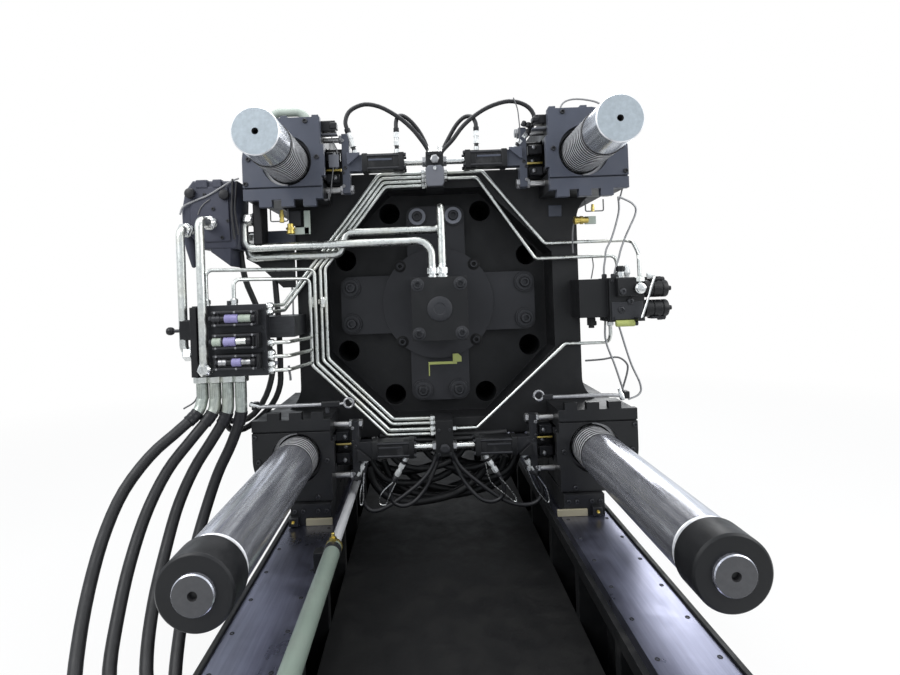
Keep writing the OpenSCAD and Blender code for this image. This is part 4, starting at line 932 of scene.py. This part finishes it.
# Locking drives: end plates, tie rods and nuts of the cylinder, screws of the yoke, the lug's gusset
drives = {"axisY": -0.772, "rodUp": 0.031, "rodOut": 0.040, "rodRadius": 0.0055,
          "plates": [(0.330, 0.3575, 0.045, 0.045, 0.006), (0.150, 0.178, 0.045, 0.045, 0.006),
                     (0.178, 0.205, 0.041, 0.042, 0.004)],
          "yokeScrews": [(472, 2543), (453, 2385), (441, 2408), (426, 2449), (472, 2318)],
          "gusset": [(431, 2477), (367, 2477), (367, 2466), (421, 2420), (431, 2420)]}
axisY = drives["axisY"]
for corner in quadrants:
    sx, sz = quadrants[corner]
    upper = corner[0] == "u"
    group = Group("lockDrive_" + corner, "lock_" + corner)
    z0 = mid + sz * barX
    for x0, x1, deep, high, rounding in drives["plates"]:
        lo, hi = (sx * x0, axisY - deep, z0 - high), (sx * x1, axisY + deep, z0 + high)
        cornered(group["black"], lo, hi, 0.002, 0, rounding)
    for wayZ, wayY in signs:
        y, z = axisY + wayY * drives["rodOut"], z0 + wayZ * drives["rodUp"]
        carried(group["manifold"], [(sx * 0.176, y, z), (sx * 0.332, y, z)], drives["rodRadius"], 10)
        hexHead(group["screw"], (sx * 0.150, y, z), (-sx, 0, 0), 9, 10, 18)
    lo, hi = (sx * 0.210, -0.8145, z0 + 0.006), (sx * 0.326, -0.811, z0 + 0.016)
    cornered(group["slate" if upper else "padDark"], lo, hi, 0.001, 0)
    for x, z in drives["yokeScrews"]:
        finish = "paleScrew" if x == 472 else "screw"
        capScrew(group[finish], mirrored(corner, min(x, 452), -802, z), minusY, 8.5, 6, 16)
    gusset = [mirrored(corner, x, 0, z)[::2] for x, z in drives["gusset"]]
    plated(group["slate" if upper else "black"], gusset, -0.826, -0.811, 0.002)
    for z in (2556, 2304):
        for x, along in ((456, sx), (420, -sx)):
            hexHead(group["nut"], mirrored(corner, x, 1000 * axisY, z), (along, 0, 0), 21, 16, 24)
    group.build()

# Fittings of the locking cylinders: where each leaves the barrel, its outer end, its radius
fittings = {
    "lock_ul": [(-389, 2474, -427, 2600, 14), (-184, 2474, -184, 2596, 13)],
    "lock_ur": [(394, 2474, 469, 2560, 14), (210, 2474, 212, 2588, 13)],
    "lock_ll": [(-387, 966, -446, 866, 13), (-192, 966, -252, 860, 13)],
    "lock_lr": [(387, 966, 446, 863, 13), (198, 966, 263, 863, 13)],
}
for body, pair in fittings.items():
    group = Group("fittings_" + body[-2:], body)
    for x0, z0, x1, z1, r in pair:
        at, end = level(-790, x0, z0, x1, z1)
        n, along = 1000 * float(np.linalg.norm(end - at)), unit(end - at)
        turned(group["whiteFitting"], [(0, r), (n * 0.16, r), (n * 0.16, r * 0.72), (n * 0.3, r * 0.72),
               (n * 0.3, r * 1.02, 1), (n * 0.48, r * 1.02, 1), (n * 0.48, r * 0.86), (n * 0.62, r * 0.86),
               (n * 0.62, r, 1), (n * 0.8, r, 1), (n * 0.82, r * 0.92), (n * 0.98, r * 0.88), (n, r * 0.8),
               (n, r * 0.4)], at, along, 24)
        turned(group["thinHose"], [(n * 0.85, r * 0.93), (n * 0.87, r * 1.06), (n * 1.02, r * 1.06),
               (n * 1.04, r * 0.8)], at, along, 24)
    group.build()
print("locking drives finished")

# Middle blocks above and below: screws, plugs, unions, the light boss and the rods' sleeves
centre = Group("middleBlocks")
face = corners("sync_block_top")[0][1]
for x in (-0.027, 0.027):
    for z in (2.458, 2.340):
        for place in (z, 2 * mid - z):
            capScrew(centre["screw"], (x, face, place), minusY, 8, 6, 16)
union(centre["nut"], (0, face, 2.430), minusY, 12, 20)
for z in (2430, 1010):
    for sx in (-1, 1):
        hexHead(centre["nut"], mm(sx * 43, -772, z), (sx, 0, 0), 24, 18, 24)
union(centre["manifold"], (0, face, 2 * mid - 2.430), minusY, 14, 18)
for at in trail(-22, -772, 2470, 30, -772, 2470, -18, -690, 2405, 24, -690, 2405):
    turned(centre["bright"], [(-2, 14), (12, 14), (12, 12.5, 1), (26, 12.5, 1), (28, 11), (36, 11)], at,
        plusZ, 18)
for at in trail(-40, -765, 970, 40, -765, 970, -24, -690, 1034, 24, -690, 1034):
    turned(centre["screw"], [(-2, 14), (12, 14), (12, 12, 1), (26, 12, 1), (28, 10.5), (34, 10.5)], at,
        minusZ, 18)
boss = trail(-47, 2315, -36, 2298, 34, 2298, 44, 2315, 44, 2385, 28, 2400, -31, 2400, -47, 2385, wide=2)
plated(centre["padSlate"], boss, -0.832, -0.816, 0.003)
capScrew(centre["bright"], mm(-1, -832, 2384), minusY, 9, 6, 16)
for z in (2430, 1010):
    for sx in (-1, 1):
        carried(centre["bright"], level(-772, sx * 40, z, sx * 208, z), 0.0161, 64)
centre.build()

# Sensors on the covers' inner edges, with their plates
sensors = Group("coverSensors")
sensors.blocks([
    ("plastic", -552, -478, -846, -800, 2578, 2632, 4),
    ("plastic", -505, -470, -852, -806, 2590, 2620, 3),
    ("padSlate", -556, -472, -846, -806, 2562, 2569, 1),
    ("padSlate", -517, -468, -838, -826, 2405, 2467, 1.5),
    ("greyCable", -543, -518, -850, -842, 2243, 2250, 1),
    ("greyCable", -524, -517, -850, -842, 2243, 2279, 1),
    ("plastic", 491, 562, -846, -800, 2580, 2625, 4),
    ("plastic", 480, 514, -852, -806, 2590, 2612, 3),
    ("padSlate", 480, 583, -846, -806, 2554, 2561, 1),
])
for x, z in ((440, 2582), (462, 2574)):
    turned(sensors["plastic"], [(0, 12), (20, 12), (24, 8)], mm(x, -812, z), (0.5, 0, 1), 16)
sensors.build()

# Under the upper housings: sensor brackets, brass-coloured switches and their wire frames
under = Group("housingSwitches")
under.blocks([
    ("sageGreen", -664, -634, -760, -744, 2093, 2212, 2),
    ("sageGreen", -740, -638, -760, -744, 2093, 2128, 2),
    ("padDark", -744, -682, -742, -734, 2138, 2213, 1.5),
    ("sageGreen", 745, 800, -760, -744, 2093, 2132, 2),
    ("slateCast", 590, 658, -646, -639, 2151, 2211, 3),
])
switches = [(-783, -760, 2153, 2217), (-750, -709, 2095, 2147), (774, 791, 2153, 2190),
    (686, 758, 2093, 2132)]
for x0, x1, z0, z1 in switches:
    upright = z1 - z0 > x1 - x0
    n, r = max(x1 - x0, z1 - z0), min(x1 - x0, z1 - z0) / 2
    at = mm((x0 + x1) / 2, -768, z0) if upright else mm(x0, -768, (z0 + z1) / 2)
    turned(under["brass"], [(0, r * 0.8), (2, r), (n * 0.3, r), (n * 0.3, r * 0.86), (n * 0.42, r * 0.86),
        (n * 0.42, r * 0.98, 1), (n * 0.62, r * 0.98, 1), (n * 0.62, r * 0.8), (n - 2, r * 0.8),
        (n, r * 0.6)], at, plusZ if upright else plusX, 20)
for x0, x1, z0, z1 in ((-831, -744, 2162, 2222), (750, 840, 2157, 2215)):
    carried(under["greyCable"], bent(level(-756, x0, z1, x0, z0, x1, z0, x1, z1), 0.008), 0.0032, 8)
under.build()
print("sensors made")

# Right manifold: front blocks, nuts and plugs, and the two turned solenoids
right = Group("rightManifold")
right.blocks([
    ("black", 862, 955, -866, -829, 1726, 1816, 3),
    ("padDark", 838, 990, -836, -829, 1612, 1700, 2),
])
for z in (1802, 1622):
    for x in (846, 984):
        capScrew(right["screw"], mm(x, -830, z), minusY, 7, 6, 16)
for x, y, z in ((885, -866, 1750), (930, -836, 1700), (884, -836, 1660)):
    turned(right["screw"], [(0, 16), (4, 16), (6, 13), (6, 7, 1), (1, 6)], mm(x, y, z), minusY, 20)
port = mm(908, -770, 1817)
turned(right["bright"], [(0, 14), (14, 14), (14, 20), (30, 20), (34, 16)], port, plusZ, 24)
turned(right["plastic"], [(34, 18), (36, 21), (56, 21), (60, 16)], port, plusZ, 24)
turned(right["whiteFitting"], [(0, 12), (12, 12), (20, 17), (28, 17), (64, 8), (66, 4)], port + mm(32, 0, 0),
       plusZ, 24)
turned(right["whiteFitting"], [(0, 12), (8, 15), (22, 15), (34, 10)], mm(1003, -866, 1824), plusX, 20)
right.blocks([
    ("black", 955, 1006, -862, -830, 1800, 1816, 2),
    ("black", 944, 976, -888, -829, 1606, 1622, 2),
])
wire = trail(1033, -880, 1815, 1012, -882, 1760, 986, -882, 1680, 961, -880, 1612)
carried(right["bright"], eased(wire, 20), 0.006, 10)
turned(right["yellowGreen"], [(0, 13), (3, 16), (88, 16), (91, 13)], mm(854, -838, 1594), plusX, 24)
turned(right["screw"], [(0, 10), (2, 13), (14, 13), (16, 9)], mm(945, -838, 1594), plusX, 20)
turned(right["black"], [(0, 14), (14, 14), (14, 20, 1), (50, 20, 1), (57, 12)], mm(765, -735, 1570), plusZ,
    24)
for x, z, along in ((786, 1602, minusZ), (892, 1818, plusZ), (846, 1818, plusZ), (907, 1602, minusZ)):
    union(right["screw"], mm(x, -712, z), along, 7.5, 22)
right.build()
for name, z, way in (("solenoid_upper", 1758, 1), ("solenoid_lower", 1660, -1)):
    part = Group("turned_" + name, smooth=35)
    at = mm(1000, -750, z)
    turned(part["black"], [(0, 30, 1), (18, 30, 1), (20, 27), (26, 27), (26, 43), (32, 43.5), (60, 43.5),
        (62, 40.5), (66, 40.5), (68, 43.5), (104, 43.5), (106, 40.5), (112, 40.5), (114, 43.5),
        (134, 43.5), (140, 40), (140, 22), (150, 21), (150, 12), (164, 11.5), (165, 7)], at, plusX, 40)
    part.block("plastic", 1052, 1092, -776, -724, z + way * 38, z + way * 52, 3)
    plug = [(0, 15), (20, 15), (20, 12, 1), (34, 12, 1), (38, 8)]
    turned(part["plastic"], plug, mm(1096, -750, z + way * 46), plusX, 20)
    capScrew(part["screw"], at + mm(150, 0, 0), plusX, 8, 6, 16)
    part.build([name], "black_plastic")
print("right manifold finished")

# Left manifold: its front strip, the knob, the hoses' nuts, elbows and crimped sleeves, and small fittings
left = Group("leftManifold")
elbows = {"above": 0.076, "stem": 0.0273, "radius": 0.0266, "to": 0.078, "sleeve": (0.066, 0.13),
          "crimp": (0.0295, 0.0282), "samples": 181}
left.block("black", -1164, -1133, -978, -898, 1424, 1748, 2)
for z in (1450, 1530, 1640, 1730):
    for x in (-1122, -832):
        capScrew(left["screw"], mm(x, -960, z), minusY, 7.5, 6, 16)
left.block("black", -1223, -1166, -955, -915, 1596, 1690, 4)
carried(left["manifold"], trail(-1215, -935, 1640, -1262, -935, 1640), 0.008, 12)
turned(left["plastic"], [(0, 9), (3, 14.5), (10, 18.5), (18, 19.5), (26, 18.5), (33, 14.5), (36, 8)],
       mm(-1255, -935, 1640), minusX, 24)
for route in bedHoses["routes"]:
    start = vec(*route[0])
    turned(left["zinc"], [(0, 33, 1), (-26, 33, 1), (-30, 29)], start + vec(0, 0, 0.101), plusZ, 24)
    stem = [start + vec(0, 0, elbows["above"]), start - vec(0, 0, 0.002)]
    carried(left["elbowZinc"], stem, elbows["stem"], 20)
    line = eased(route, elbows["samples"])
    reach = np.concatenate([[0], np.cumsum(np.linalg.norm(np.diff(line, axis=0), axis=1))])
    carried(left["elbowZinc"], line[reach < elbows["to"]], elbows["radius"], 20, first=minusZ)
    sleeve = line[(reach > elbows["sleeve"][0]) & (reach < elbows["sleeve"][1])]
    carried(left["plastic"], sleeve, np.where(np.arange(len(sleeve)) % 4 < 3, *elbows["crimp"]), 24)
for z in (1520, 1468):
    union(left["bright"], mm(-815, -935, z), plusX, 10, 30)
turned(left["screw"], [(0, 20), (8, 20), (8, 17, 1), (20, 17, 1)], mm(-985, -928, 1753), plusZ, 24)
left.block("padSlate", -811, -773, -940, -936, 1465, 1483, 1)
for x, z in ((-653, 1740), (-602, 1738)):
    turned(left["bright"], [(-18, 12.5), (-16, 14.5), (0, 14.5), (0, 19, 1), (24, 19, 1), (26, 14.5),
        (36, 13)], mm(x, -665, z), plusZ, 24)
for x, z in ((-1100, 1500), (-1045, 1490)):
    turned(left["plastic"], [(0, 16), (3, 20), (35, 20), (40, 12)], mm(x, -898, z), minusZ, 20)
left.build()

# The three valves: height, and the coloured rings of each from left to right
valves = {
    "top": (1692, ("manifold", -1046, -1006, 17), ("violet", -988, -926, 21), ("paleGreen", -926, -866, 18)),
    "middle": (1587, ("paleGreen", -1048, -1006, 20), ("violet", -996, -940, 22), ("zinc", -940, -890, 18)),
    "bottom": (1492, ("nut", -1024, -985, 17), ("violet", -962, -918, 20), ("nut", -918, -872, 16)),
}
for name, (z, *bands) in valves.items():
    valve = Group("turned_valve_" + name, smooth=35)
    valve.block("black", -1050, -838, -1012, -960, z - 36, z + 36, 5)
    for x in (-1036, -1018, -880, -862, -846):
        valve.block("plastic", x - 4, x + 4, -1020, -1008, z - 34, z + 34, 1.5)
    for finish, x0, x1, r in bands:
        n = x1 - x0
        turned(valve[finish], [(0, r * 0.8), (3, r), (n * 0.46, r), (n * 0.48, r * 0.96),
            (n * 0.54, r * 0.96), (n * 0.56, r), (n - 3, r), (n, r * 0.8)], mm(x0, -1012, z), plusX, 32)
    gapFrom, gapTo, end = bands[0][2], bands[1][1], bands[-1][2]
    turned(valve["plastic"], [(0, 15), (gapTo - gapFrom, 15)], mm(gapFrom, -1012, z), plusX, 24)
    for dz in (-29, 29):
        valve.block("discDark", -1046, -846, -1026, -1010, z + dz - 5, z + dz + 5, 2)
        for x in (-1030, -940, -862):
            hexHead(valve["paleScrew"], mm(x, -1024, z + dz), minusY, 5, 5, 12)
    turned(valve["plastic"], [(0, 18), (4, 21), (18, 21), (22, 14)], mm(end, -1012, z), plusX, 28)
    turned(valve["screw"], [(0, 12), (6, 14, 1), (12, 14, 1), (14, 9)], mm(bands[0][1], -1012, z), minusX, 24)
    valve.build(["valve_" + name], "valve_paint")
print("left manifold finished")

# Upper left casting with its bosses, knobs and ports
casting = Group("upperCasting")
body = trail(-1180, 2361, -964, 2354, -973, 2180, -977, 2024, -1143, 2026, -1236, 2139, -1238, 2214,
             -1219, 2311, wide=2)
lid = trail(-1160, 2330, -1005, 2330, -1000, 2060, -1120, 2058, -1196, 2150, -1196, 2220, wide=2)
wedge = trail(-985, 2052, -985, 1985, -925, 1950, -800, 1830, -735, 1830, -735, 2052, wide=2)
foot = trail(-1101, 2030, -1104, 2014, -1009, 1940, -1004, 2030, wide=2)
plated(casting["violetCast"], body, -0.850, -0.652, 0.008)
plated(casting["violetCast"], lid, -0.858, -0.846, 0.006)
casting.blocks([
    ("violetCast", -1160, -1103, -862, -800, 2322, 2362, 4),
    ("violetCast", -1079, -1035, -862, -800, 2322, 2362, 4),
    ("black", -909, -868, -796, -670, 2045, 2290, 5),
    ("black", -990, -868, -672, -600, 2290, 2345, 5),
    ("slateCast", -985, -735, -671, -582, 2050, 2125, 4),
])
plated(casting["castBlack"], wedge, -0.676, -0.668, 0.002)
turned(casting["violetCast"], [(0, 30), (12, 34), (30, 34), (100, 26), (185, 10), (190, 4)],
    mm(-1221, -800, 2131), (16, 0, -198), 24)
plated(casting["violetCast"], foot, -0.846, -0.700, 0.005)
for at in level(-850, -1186, 2297, -1021, 2285):
    turned(casting["plastic"], [(-1, 19), (8, 21), (12, 25), (24, 25.5), (30, 22), (32, 10)], at, minusY, 28)
for x, y, z in ((-1094, -858, 2150), (-1211, -846, 2120)):
    turned(casting["bright"], [(-2, 33), (8, 33), (8, 31, 1), (26, 31, 1), (30, 23)], mm(x, y, z), minusY, 28)
for x, z, r in ((-1150, 2100, 9), (-1040, 2080, 9), (-1080, 2220, 9), (-1010, 2160, 8), (-1120, 2290, 8)):
    capScrew(casting["screw"], mm(x, -857, z), minusY, r, 7, 16)
for y, z in ((-768, 2172), (-698, 2082)):
    turned(casting["screw"], [(0, 34), (6, 34), (8, 30)], mm(-910, y, z), minusX, 28)
casting.build(["manifold_upper"], "manifold_steel")
print("upper casting made")

# Ejector: washers and socket screws on the cross, the upper washers lighter as painted light,
# screws of disc and block, fittings and bracket
ejector = Group("ejectorDetails")
backs = {"cross": -0.514, "disc": -0.525, "block": -0.795, "blockDown": 0.024}
for a, b in ((98, 473), (473, 98)):
    for sx, sz in signs:
        at = vec(sx * a / 1000, backs["cross"], mid + sz * b / 1000)
        # The upper pair of washers takes the lighter pad paint as painted light, the rest the dark pad paint
        finish = "padLight" if sz * b == 473 else "padDark"
        turned(ejector[finish], [(-1, 46), (5, 46), (7, 44), (7, 33)], at, minusY, 40)
        capScrew(ejector["screw"], at - vec(0, 0.006, 0), minusY, 28, 20, 30)
blockMid = mid - backs["blockDown"]
for sx, sz in signs:
    at = vec(sx * 0.200, backs["disc"], mid + sz * 0.205)
    # A thin near-black ring round each disc screw: painted shade in its pocket
    turned(ejector["dark"], [(-1, 33), (1, 33), (2, 31)], at, minusY, 32)
    capScrew(ejector["screw"], at, minusY, 22, 12, 28)
    at = vec(sx * 0.106, backs["block"], blockMid + sz * 0.122)
    turned(ejector["padDark"], [(-1, 33), (2, 33), (3, 31)], at, minusY, 32)
    capScrew(ejector["screw"], at, minusY, 23, 13, 28)
at = (0, backs["block"], blockMid)
turned(ejector["padDark"], [(-1, 62), (4, 62), (6, 59), (6, 30), (4, 28)], at, minusY, 48)
for x, r in ((22, 27), (-30, 23)):
    turned(ejector["bright"], [(-1, r * 1.1), (8, r * 1.1), (10, r * 0.92), (18, r * 0.92), (18, r, 1),
           (46, r, 1), (52, r * 0.86), (58, r * 0.82), (66, 20.2)], mm(x, -768, 1854), plusZ, 30)
ejector.blocks([
    ("yellowGreen", -59, 88, -574, -568, 1392, 1406, 1),
    ("yellowGreen", -64, -58, -574, -560, 1332, 1406, 1),
])
tab = trail(66, 1403, 113, 1403, 113, 1430, 96, 1446, 66, 1446, wide=2)
plated(ejector["yellowGreen"], tab, -0.574, -0.568, 0.001)
ejector.build()

# Discs that close the free ejector holes on their mould side, in near-black paint that stands in for the
# holes' shade
plugs = Group("holeShadePlugs")
for a, b in ((0.252, 0.504), (0.504, 0.252)):
    for sx, sz in signs:
        at = (sx * a, -0.012, mid + sz * b)
        turned(plugs["dark"], [(0, 56), (10, 56.5), (12, 54), (12, 20)], at, minusY, 36)
plugs.build()

# Rods with eyes below the middle, on the backs of the lower housings
links = Group("lowerLinks")
linkY, eyeRadius, wireRadius = -905, 0.022, 0.0065
for places in ((-880, 1263, -548, 1265), (483, 1260, 763, 1262, 855, 1256)):
    carried(links["nut"], level(linkY, *places), 0.009, 12)
for x, z, along in ((-923, 1279, (1, 0, -0.3)), (852, 1236, (-0.3, 0, 1))):
    turned(links["bright"], [(0, 8), (4, 13), (30, 13), (36, 9), (60, 8)], mm(x, linkY, z), along, 20)
for x, z, sx in ((-451, 1268, -1), (451, 1270, 1)):
    centre = mm(x, linkY, z)
    eye = np.array(ringPlaces(centre, eyeRadius, centre[1], 28, 0))
    tube = np.arange(8) * math.pi / 4
    spoke = unit(eye - centre)
    around = np.cos(tube)[:, None] * spoke[:, None] + np.sin(tube)[:, None] * vec(*plusY)
    grid = eye[:, None] + wireRadius * around
    links["nut"].grid(np.concatenate([grid, grid[:1]]), caps=False)
    carried(links["nut"], level(linkY, x + sx * 24, z - 2, x + sx * 60, 1263), 0.0075, 12)
links.blocks([
    ("black", -582, -495, -916, -894, 1252, 1278, 3),
    ("black", 470, 520, -914, -896, 1250, 1274, 3),
    ("padDark", -566, -546, -905, -880, 1222, 1262, 3),
    ("black", -912, -888, -915, -868, 1250, 1284, 3),
    ("black", 858, 882, -915, -868, 1242, 1276, 3),
])
links.build()

# Shoes: wiper plates with brass-tipped grease blocks, and screws; places count from the shoe's left end
shoes = Group("shoeDetails")
wipers = {"shoe_left": (-0.741, 0.073, 0.196, 0.018), "shoe_right": (0.551, -0.036, 0.106, 0.148)}
for name, (start, wiperFrom, wiperTo, grease) in wipers.items():
    back = corners(name)[0][1]
    lo, hi = (start + wiperFrom, back - 0.012, 0.7025), (start + wiperTo, back + 0.001, 0.735)
    cornered(shoes["beige"], lo, hi, 0.002)
    for dx in (0.02, 0.06, 0.13, 0.17):
        capScrew(shoes["screw"], (start + dx, back, 0.768), minusY, 10, 8, 16)
    x = start + grease
    cornered(shoes["black"], (x - 0.022, back - 0.03, 0.706), (x + 0.022, back + 0.001, 0.748), 0.003)
    turned(shoes["brass"], [(0, 7, 1), (8, 7, 1), (8, 4), (18, 4), (20, 2)], (x, back - 0.03, 0.73),
        minusY, 18)
shoes.build()

# Traverse cylinder: its barrel, its two feet, the brass-coloured neck with its port, and two bands
traverse = Group("traverseDetails", "bed")
lo, hi = corners("traverse_cylinder")
n = 1000 * (hi[1] - lo[1])
barrel = [(0, 19.5), (0, 31.5), (4, 32), (n - 4, 32), (n, 31.5), (n, 19.5)]
neck = [(-20, 33.5), (-4, 33.5), (0, 31), (0, 22), (10, 21.5), (12, 20.5)]
turned(traverse["green"], barrel, (-0.47, lo[1], 0.782), plusY, 40)
for y in (lo[1] + 0.004, hi[1] - 0.056):
    cornered(traverse["black"], (lo[0], y, 0.664), (-0.5005, y + 0.052, 0.780), 0.003)
turned(traverse["brass"], neck, mm(-470, -1330, 782), plusY, 36)
turned(traverse["brass"], [(0, 12, 1), (14, 12, 1), (14, 7), (30, 7), (32, 4)], mm(-470, -1352, 812),
    plusZ, 18)
for y, n in ((-1400, 30), (-2690, 50)):
    turned(traverse["screw"], [(0, 33.5), (3, 34.5), (n, 34.5), (n + 4, 33.5)], mm(-470, y, 782), plusY, 36)
traverse.build(["traverse_cylinder"])

# Bed: screws along the rails' lips, and the hoses' sleeves and nuts at the bracket
bed = Group("bedDetails", "bed")
for x in (-0.646, 0.646):
    for y in np.linspace(-2.55, 2.0, 24):
        for dx in (-0.09, 0.09):
            capScrew(bed["screw"], (x + dx, y, 0.702), plusZ, 8, 2, 14)
for y in (-1.50, -1.59, -1.68, -1.77):
    turned(bed["manifold"], [(0, 27.5), (4, 31.5), (60, 31.5), (64, 26)], (-1.030, y, 0.3), minusX, 28)
    turned(bed["zinc"], [(0, 33, 1), (20, 33, 1), (24, 28)], (-1.008, y, 0.3), minusX, 24)
bed.build()

# Stationary platen: locating ring, clamp cylinder flanges with their bolt circles, end screws
stationary = Group("stationaryDetails", "bed")
turned(stationary["nut"], [(-2, 160), (8, 160), (10, 157), (10, 128), (4, 126.5)], (0, 1.2, mid), minusY, 64)
for at in ringPlaces((0, 0, mid), 0.143, 1.19, 6, 0.3):
    capScrew(stationary["screw"], at, minusY, 8, 6, 16)
for corner in quadrants:
    lo, hi = corners("clamp_cylinder_" + corner)
    at = (lo + hi) / 2 * (1, 0, 1)
    r, n = 500 * (hi[0] - lo[0]), 1000 * hi[1]
    turned(stationary["slate"], [(1801, r), (1803, r + 4), (1842, r + 4), (1845, r)], at, plusY, 72)
    turned(stationary["slate"], [(n - 40, r), (n - 38, r + 3), (n - 4, r + 3), (n, r - 4), (n, 105)], at,
        plusY, 72)
    turned(stationary["nut"], [(n - 10, 112), (n + 6, 112), (n + 10, 108), (n + 10, 50)], at, plusY, 48)
    for place in ringPlaces(at, 0.155, hi[1], 12, 0.26):
        capScrew(stationary["screw"], place, plusY, 14, 12, 18)
stationary.build()
print("bed and stationary platen finished")

stageSizes = {"floorHalf": 40.0, "floorColor": (0.86, 0.86, 0.855), "seenWhite": 0.84, "fade": (3.0, 9.0)}


# Pale floor: takes the object's shadow, and mixes in plain white for the camera, more with distance
def stageFinish(name):
    f = Finish(name, roughness=0.8)
    f.feed("Base Color", f.blendColor(f.noise(0.8, 3, 0.5), (0.83, 0.83, 0.825), stageSizes["floorColor"]))
    glow = f.tree.nodes.new("ShaderNodeEmission")
    glow.inputs["Color"].default_value = (1, 1, 1, 1)
    glow.inputs["Strength"].default_value = 1.0
    path = f.tree.nodes.new("ShaderNodeLightPath")
    seen = Flow(f, path.outputs["Is Camera Ray"])
    mix = f.tree.nodes.new("ShaderNodeMixShader")
    far = f.node("VectorMath", out="Value", inputs={0: f.place}, operation="LENGTH")
    f.plug(mix.inputs[0], seen * f.span(far, *stageSizes["fade"], stageSizes["seenWhite"], 1.0))
    f.tree.links.new(f.shader.outputs[0], mix.inputs[1])
    f.tree.links.new(glow.outputs[0], mix.inputs[2])
    output = next(node for node in f.tree.nodes if node.type == "OUTPUT_MATERIAL")
    f.tree.links.new(mix.outputs[0], output.inputs["Surface"])
    return f.material


floor = Surface()
h = stageSizes["floorHalf"]
u, v = np.meshgrid(np.linspace(-h, h, 3), np.linspace(-h, h, 3))
floor.grid(np.stack([u, v, np.zeros_like(u)], -1), around=False)
ground = floor.build("floor", stageFinish("paleFloor"))

world = bpy.data.worlds.new("studio")
scene.world = world
world.use_nodes = True
tree = world.node_tree
tree.nodes.clear()
output = tree.nodes.new("ShaderNodeOutputWorld")
choose = tree.nodes.new("ShaderNodeMixShader")
rays = tree.nodes.new("ShaderNodeLightPath")
lit = tree.nodes.new("ShaderNodeBackground")
seen = tree.nodes.new("ShaderNodeBackground")
seen.inputs["Color"].default_value = (1, 1, 1, 1)
lit.inputs["Color"].default_value = (0.9, 0.95, 1, 1)
gloss = tree.nodes.new("ShaderNodeMath")
gloss.operation = "MULTIPLY_ADD"
gloss.inputs[1].default_value, gloss.inputs[2].default_value = 0.4, 0.55
tree.links.new(rays.outputs["Is Glossy Ray"], gloss.inputs[0])
tree.links.new(gloss.outputs[0], lit.inputs["Strength"])
tree.links.new(rays.outputs["Is Camera Ray"], choose.inputs[0])
tree.links.new(lit.outputs[0], choose.inputs[1])
tree.links.new(seen.outputs[0], choose.inputs[2])
tree.links.new(choose.outputs[0], output.inputs["Surface"])

lamps = [
    ("keyLamp", (-3.2, -3.4, 4.6), (0, -0.8, 1.5), 3.0, 150),
    ("fillLamp", (3.6, -2.6, 3.4), (0, -0.8, 1.5), 3.0, 90),
    ("topLamp", (0, 0, 6.0), (0, 0, 1.5), 4.0, 180),
    ("backLamp", (2.5, 5.5, 4.5), (0, 1.5, 1.5), 3.0, 120),
]
for name, place, target, size, power in lamps:
    data = bpy.data.lights.new(name, "AREA")
    data.size, data.energy = size, power
    lamp = bpy.data.objects.new(name, data)
    lamp.location = place
    toward = vec(*target) - vec(*place)
    lamp.rotation_euler = (math.atan2(math.hypot(toward[0], toward[1]), -toward[2]), 0,
                           math.atan2(toward[1], toward[0]) - math.pi / 2)
    scene.collection.objects.link(lamp)
scene.view_settings.view_transform = "Standard"
print("stage made")
